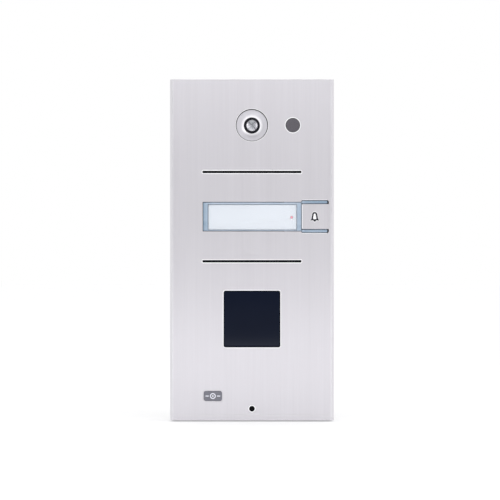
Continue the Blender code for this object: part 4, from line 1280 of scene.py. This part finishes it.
def sensor_tube():
    """The black tube that leads light from the sensor's window to its photodiode."""
    front, back, outer = round_node("light_sensor_tube")
    bore = 4 * MM
    profile = [(bore, front), (outer - LIP, front), (outer, front + LIP), (outer, back - LIP),
               (outer - LIP, back), (bore, back)]
    turned_node("light_sensor_tube", "_moulded", profile, BLACK_PLASTIC, 64)


# ---- Main board ----

def board_screws():
    """Slotted cheese-head screws with their threads."""
    shank = 1 * MM
    slot_half = 0.3 * MM
    for number in range(1, 5):
        node = f"board_screw_{number}"
        front, back, head = round_node(node)
        place = middle(node)
        head_front = back - 1.6 * MM
        profile = ([(0, front), (0.4 * MM, front)]
                   + thread(shank, front + 0.5 * MM, head_front - 0.3 * MM, 0.45 * MM, 0.18 * MM)
                   + [(shank, head_front), (head - 0.1 * MM, head_front),
                      (head, head_front + 0.1 * MM), (head, back - 0.45 * MM),
                      (head - 0.15 * MM, back - 0.2 * MM), (head - 0.6 * MM, back),
                      (0, back)])
        screw = turned(node + "_threaded", profile, place.x, place.z, 48)
        slot = rectangle(place.x - head, place.x + head, place.z - slot_half,
                         place.z + slot_half)
        carve(screw, [panel_piece("slot", [slot], back - 0.7 * MM, back + PAST)])
        stand_in(screw, ZINC, node)


def terminal_blocks():
    """Five clamps in each block: a well with its slotted screw over each wire way."""
    ways = 5
    well, head_radius = 1.75 * MM, 1.5 * MM
    half, reach = 0.22 * MM, 2 * MM
    for place in ("upper", "lower"):
        node = "terminal_block_" + place
        low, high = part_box(node)
        pitch = (high.z - low.z) / ways
        x = low.x + 4 * MM
        foot = high.y - 1.58 * MM
        top = high.y - 0.9 * MM
        profile = [(0, foot), (head_radius, foot), (head_radius, top - 0.15 * MM),
                   (head_radius - 0.15 * MM, top), (0, top)]
        wells, heads = [], []
        for i in range(ways):
            z = low.z + (i + 0.5) * pitch
            wells.append(panel_piece("well", [circle(x, z, well, 32)], high.y - 1.6 * MM,
                                     high.y + PAST))
            head = turned("head", profile, x, z, 32)
            slot = rectangle(x - half, x + half, z - reach, z + reach)
            heads.append(carve(head, [panel_piece("slot", [slot], top - 0.4 * MM, top + PAST)]))
        stand_in(soften(carve(copied(node), wells), 0.15 * MM), GREEN_PLASTIC, node)
        dress(joined("terminal_screws_" + place, heads), ZINC, "cover")


def processor_shield():
    """A drawn tin lid with a grid of vent dimples."""
    low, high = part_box("processor_shield")
    columns, rows = 6, 5
    dimples = []
    for i in range(columns):
        for j in range(rows):
            x = low.x + (high.x - low.x) * (i + 1) / (columns + 1)
            z = low.z + (high.z - low.z) * (j + 1) / (rows + 1)
            dimples.append(panel_piece("dimple", [circle(x, z, 0.7 * MM, 20)],
                                       high.y - 0.3 * MM, high.y + PAST))
    grid = joined("dimples", dimples)
    stand_in(soften(carve(copied("processor_shield"), [grid]), 0.12 * MM), TIN,
             "processor_shield")


def network_jack():
    """The shielded socket and its eight sprung contacts."""
    refined("network_jack", TIN, 0.15 * MM)
    low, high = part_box("network_jack")
    centre = (low.x + high.x) / 2
    pitch = 1.02 * MM
    wire = 0.2 * MM
    contacts = []
    for i in range(8):
        x = centre + (i - 3.5) * pitch
        spring = [(low.y + y * MM, low.z + z * MM)
                  for y, z in ((1.5, 13.5), (1.9, 13.5), (4.2, 5.0), (2.4, 3.4), (2.1, 3.6),
                               (3.7, 5.1))]
        contacts.append(side_piece("contact", [spring], x - wire, x + wire))
    dress(joined("jack_contacts", contacts), GOLD, "cover")


def board_back(name, x, z, width, height, depth, rounding=0.08 * MM):
    """A block that stands on the back of the main board, round a middle point."""
    return block(name, (x - width / 2, BOARD_SURFACE, z - height / 2),
                 (x + width / 2, BOARD_SURFACE + depth, z + height / 2), rounding)


def board_chips():
    """Chips with their legs on two sides. The legs are handed back, to be joined as solder."""
    # Each chip's place, width and height in millimetres, and its legs on each side.
    chips = ((-24, 66, 12, 9, 8), (-26, 48, 7, 7, 6), (30, 34, 7, 6, 5), (33, 8, 6, 5, 4),
             (-14, -14, 9, 9, 8), (14, -58, 10, 8, 7), (-14, -64, 6, 5, 4), (30, -60, 6, 6, 5))
    bodies, legs = [], []
    for x, z, width, height, pins in chips:
        x, z, width, height = x * MM, z * MM, width * MM, height * MM
        bodies.append(board_back("chip", x, z, width, height, 1.1 * MM))
        pitch = height / (pins + 0.5)
        for side in (-1, 1):
            for i in range(pins):
                leg_x = x + side * (width / 2 + 0.45 * MM)
                leg_z = z + (i - (pins - 1) / 2) * pitch
                legs.append(board_back("leg", leg_x, leg_z, 0.84 * MM, pitch * 0.45,
                                       0.3 * MM, 0.03 * MM))
    dress(joined("board_chips", bodies), CHIP, "cover")
    return legs


def board_ceramics():
    """Rows of small ceramic parts. Their metal ends are handed back, to be joined as solder."""
    # Each row's first place, its count, and the step to the next one, in millimetres.
    rows = ((-36, 30, 7, 0, 2.2), (36, 60, 8, 0, 2.2), (-6, 78, 9, 2.4, 0), (-30, 78, 5, 2.4, 0),
            (8, -28, 5, 0, 2.4), (-22, -20, 6, 0, 2.0), (2, -56, 4, 0, 2.4), (20, -72, 7, 2.3, 0),
            (-24, -76, 6, 2.3, 0), (38, -48, 6, 0, -2.4), (26, 22, 5, 0, -2.4))
    bodies, ends = [], []
    for x, z, count, step_x, step_z in rows:
        for i in range(count):
            place_x = (x + step_x * i) * MM
            place_z = (z + step_z * i) * MM
            bodies.append(board_back("ceramic", place_x, place_z, 0.9 * MM, 0.8 * MM,
                                     0.5 * MM, 0.05 * MM))
            for side in (-1, 1):
                ends.append(board_back("end", place_x + side * 0.62 * MM, place_z, 0.3 * MM,
                                       0.8 * MM, 0.52 * MM, 0.04 * MM))
    dress(joined("board_ceramics", bodies), CERAMIC, "cover")
    return ends


def board_cans():
    """Round capacitors in metal cans, and a crystal."""
    # Each capacitor's place, radius and height in millimetres.
    sizes = ((36, -8, 3.2, 6.5), (36, -1, 3.2, 6.5), (-26, 34, 2.5, 5.2), (4, -68, 4, 7),
             (24, -50, 2.5, 5.2))
    cans = []
    for x, z, radius, tall in sizes:
        x, z, radius, tall = x * MM, z * MM, radius * MM, tall * MM
        base = radius - 0.1 * MM
        top = BOARD_SURFACE + tall
        profile = [(0, BOARD_SURFACE), (radius, BOARD_SURFACE),
                   (radius, BOARD_SURFACE + 0.9 * MM),
                   (radius - 0.3 * MM, BOARD_SURFACE + 1.2 * MM),
                   (base, BOARD_SURFACE + 1.5 * MM), (base, top - 0.3 * MM),
                   (base - 0.3 * MM, top), (0, top)]
        cans.append(turned("can", profile, x, z, 40))
    cans.append(board_back("crystal", -38 * MM, 62 * MM, 3.2 * MM, 8 * MM, 2.4 * MM, 0.9 * MM))
    dress(joined("board_cans", cans), TIN, "cover")


def board_headers():
    """Two ivory plug headers."""
    headers = [board_back("header", -6 * MM, 70 * MM, 14 * MM, 4.5 * MM, 4 * MM, 0.25 * MM),
               board_back("header", 32 * MM, -76 * MM, 4.5 * MM, 9 * MM, 4 * MM, 0.25 * MM)]
    dress(joined("board_headers", headers), IVORY, "cover")


def board_components():
    """Everything small on the back of the main board."""
    legs = board_chips()
    ends = board_ceramics()
    dress(joined("board_solder", legs + ends), TIN, "cover")
    board_cans()
    board_headers()


def finish_frame_nodes():
    """Finished forms of the nodes whose own shape is right, and materials for flat ones."""
    finishes = [("rear_housing", CASTING, 0.3), ("housing_seal", RUBBER, 0.35),
                ("top_end_cap", GREY_PLASTIC, 0.25), ("bottom_end_cap", GREY_PLASTIC, 0.25),
                ("module_carrier", BLACK_PLASTIC, 0.15), ("camera_housing", BLACK_PLASTIC, 0.25),
                ("reader_frame", BLACK_PLASTIC, 0.2), ("button_pusher", RUBBER, 0.1),
                ("switch_body", BLACK_PLASTIC, 0.15), ("relay", BLUE_PLASTIC, 0.12),
                ("lock_insert_left", BRASS, 0.12), ("lock_insert_right", BRASS, 0.12)]
    finishes += [(f"carrier_nut_{number}", ZINC, 0.12) for number in range(1, 5)]
    for node, material, width in finishes:
        refined(node, material, width * MM)
    flat_nodes = {"speaker_gauze_upper": GAUZE, "speaker_gauze_lower": GAUZE,
                  "main_board": BOARD, "camera_board": BOARD, "backlight_board": BOARD,
                  "button_board": BOARD, "reader_board": BOARD, "reader_coil": COPPER}
    for node, material in flat_nodes.items():
        frame["nodes"][node].data.materials.clear()
        frame["nodes"][node].data.materials.append(material)


# ---- Stage, light and camera ----

def studio_world():
    """A white room to the eye. Reflections see dark behind the camera and bright sides."""
    world = bpy.data.worlds.new("white studio")
    g = Graph(world)
    coordinates = g.node("ShaderNodeTexCoord")
    ahead = g.range(g.split(coordinates.outputs["Generated"])[1], 0.0, 1.0, -1.0, 1.0)
    around = g.ramp(ahead, (0.0, 0.24), (0.05, 0.24), (0.09, 0.78), (0.28, 0.84), (0.44, 0.98),
                    (1.0, 0.85))
    path = g.node("ShaderNodeLightPath")
    seen = g.mix(path.outputs["Is Camera Ray"], around, (1, 1, 1))
    g.link(seen, g.tree.nodes["Background"].inputs["Color"])
    return world


def white_floor():
    """A floor that is white wherever no shadow falls."""
    shape = bmesh.new()
    bmesh.ops.create_grid(shape, x_segments=1, y_segments=1, size=6)
    bmesh.ops.translate(shape, verts=shape.verts, vec=(0, 0, SHEET_LOW.z - 1.0 * MM))
    floor = from_bmesh("floor", shape)
    white = bpy.data.materials.new("white floor")
    white.use_nodes = True
    shader = white.node_tree.nodes["Principled BSDF"]
    for socket, value in (("Base Color", (0.70, 0.70, 0.705, 1)), ("Roughness", 1.0),
                          ("Specular IOR Level", 0.0), ("Emission Color", (1, 1, 1, 1)),
                          ("Emission Strength", 0.385)):
        shader.inputs[socket].default_value = value
    floor.data.materials.append(white)


def soft_box(name, place, target, size, power):
    """A rectangular light that the camera doesn't see."""
    light = bpy.data.lights.new(name, "AREA")
    light.shape = "RECTANGLE"
    light.size, light.size_y = size
    light.energy = power
    lamp = bpy.data.objects.new(name, light)
    lamp.location = place
    aim = Vector(target) - Vector(place)
    lamp.rotation_euler = aim.to_track_quat("-Z", "Y").to_euler()
    lamp.visible_camera = False
    bpy.context.scene.collection.objects.link(lamp)


def stage_and_light():
    """The white room, its floor and four soft lights in front of the panel."""
    scene = bpy.context.scene
    scene.view_settings.view_transform = "Standard"
    scene.view_settings.look = "None"
    scene.world = studio_world()
    white_floor()
    soft_box("left front", (-1.2, -1.0, 0.8), (0, 0, 0), (0.5, 0.5), 1.6)
    soft_box("right front", (1.2, -1.0, 0.8), (0, 0, 0), (0.5, 0.5), 3.6)
    soft_box("over the camera", (0, -1.2, 0.34), (0, 0, 0.05), (0.9, 0.12), 1.6)
    soft_box("low front", (0, -0.42, -0.09), (0, 0, -0.08), (0.5, 0.03), 0.112)


def photo_camera():
    """A long lens at the panel's middle height, square to its front."""
    distance = 1.5
    aim_x, aim_z = -1.2 * MM, -0.15 * MM
    view_height = 308.19 * MM
    sensor = 36.0
    data = bpy.data.cameras.new("camera")
    data.sensor_width = sensor
    data.lens = sensor * distance / view_height
    camera = bpy.data.objects.new("camera", data)
    camera.location = (aim_x, FRONT - distance, aim_z)
    camera.rotation_euler = (pi / 2, 0, 0)
    bpy.context.scene.collection.objects.link(camera)
    bpy.context.scene.camera = camera


photo_camera()
stage_and_light()
cover_sheet()
painted_highlight_rings()
weld_studs()
button_tongue()
bell_print()
camera_bezel()
lens()
sensor_window()
light_guide()
name_window()
reader_window()
badge()

finish_frame_nodes()
hinge_rod()
lock_screws()
cable_grommet()
speaker_basket()
speaker_cone()
speaker_magnet()
microphone_boot()
small_round_parts()
sensor_tube()
board_screws()
terminal_blocks()
processor_shield()
network_jack()
board_components()
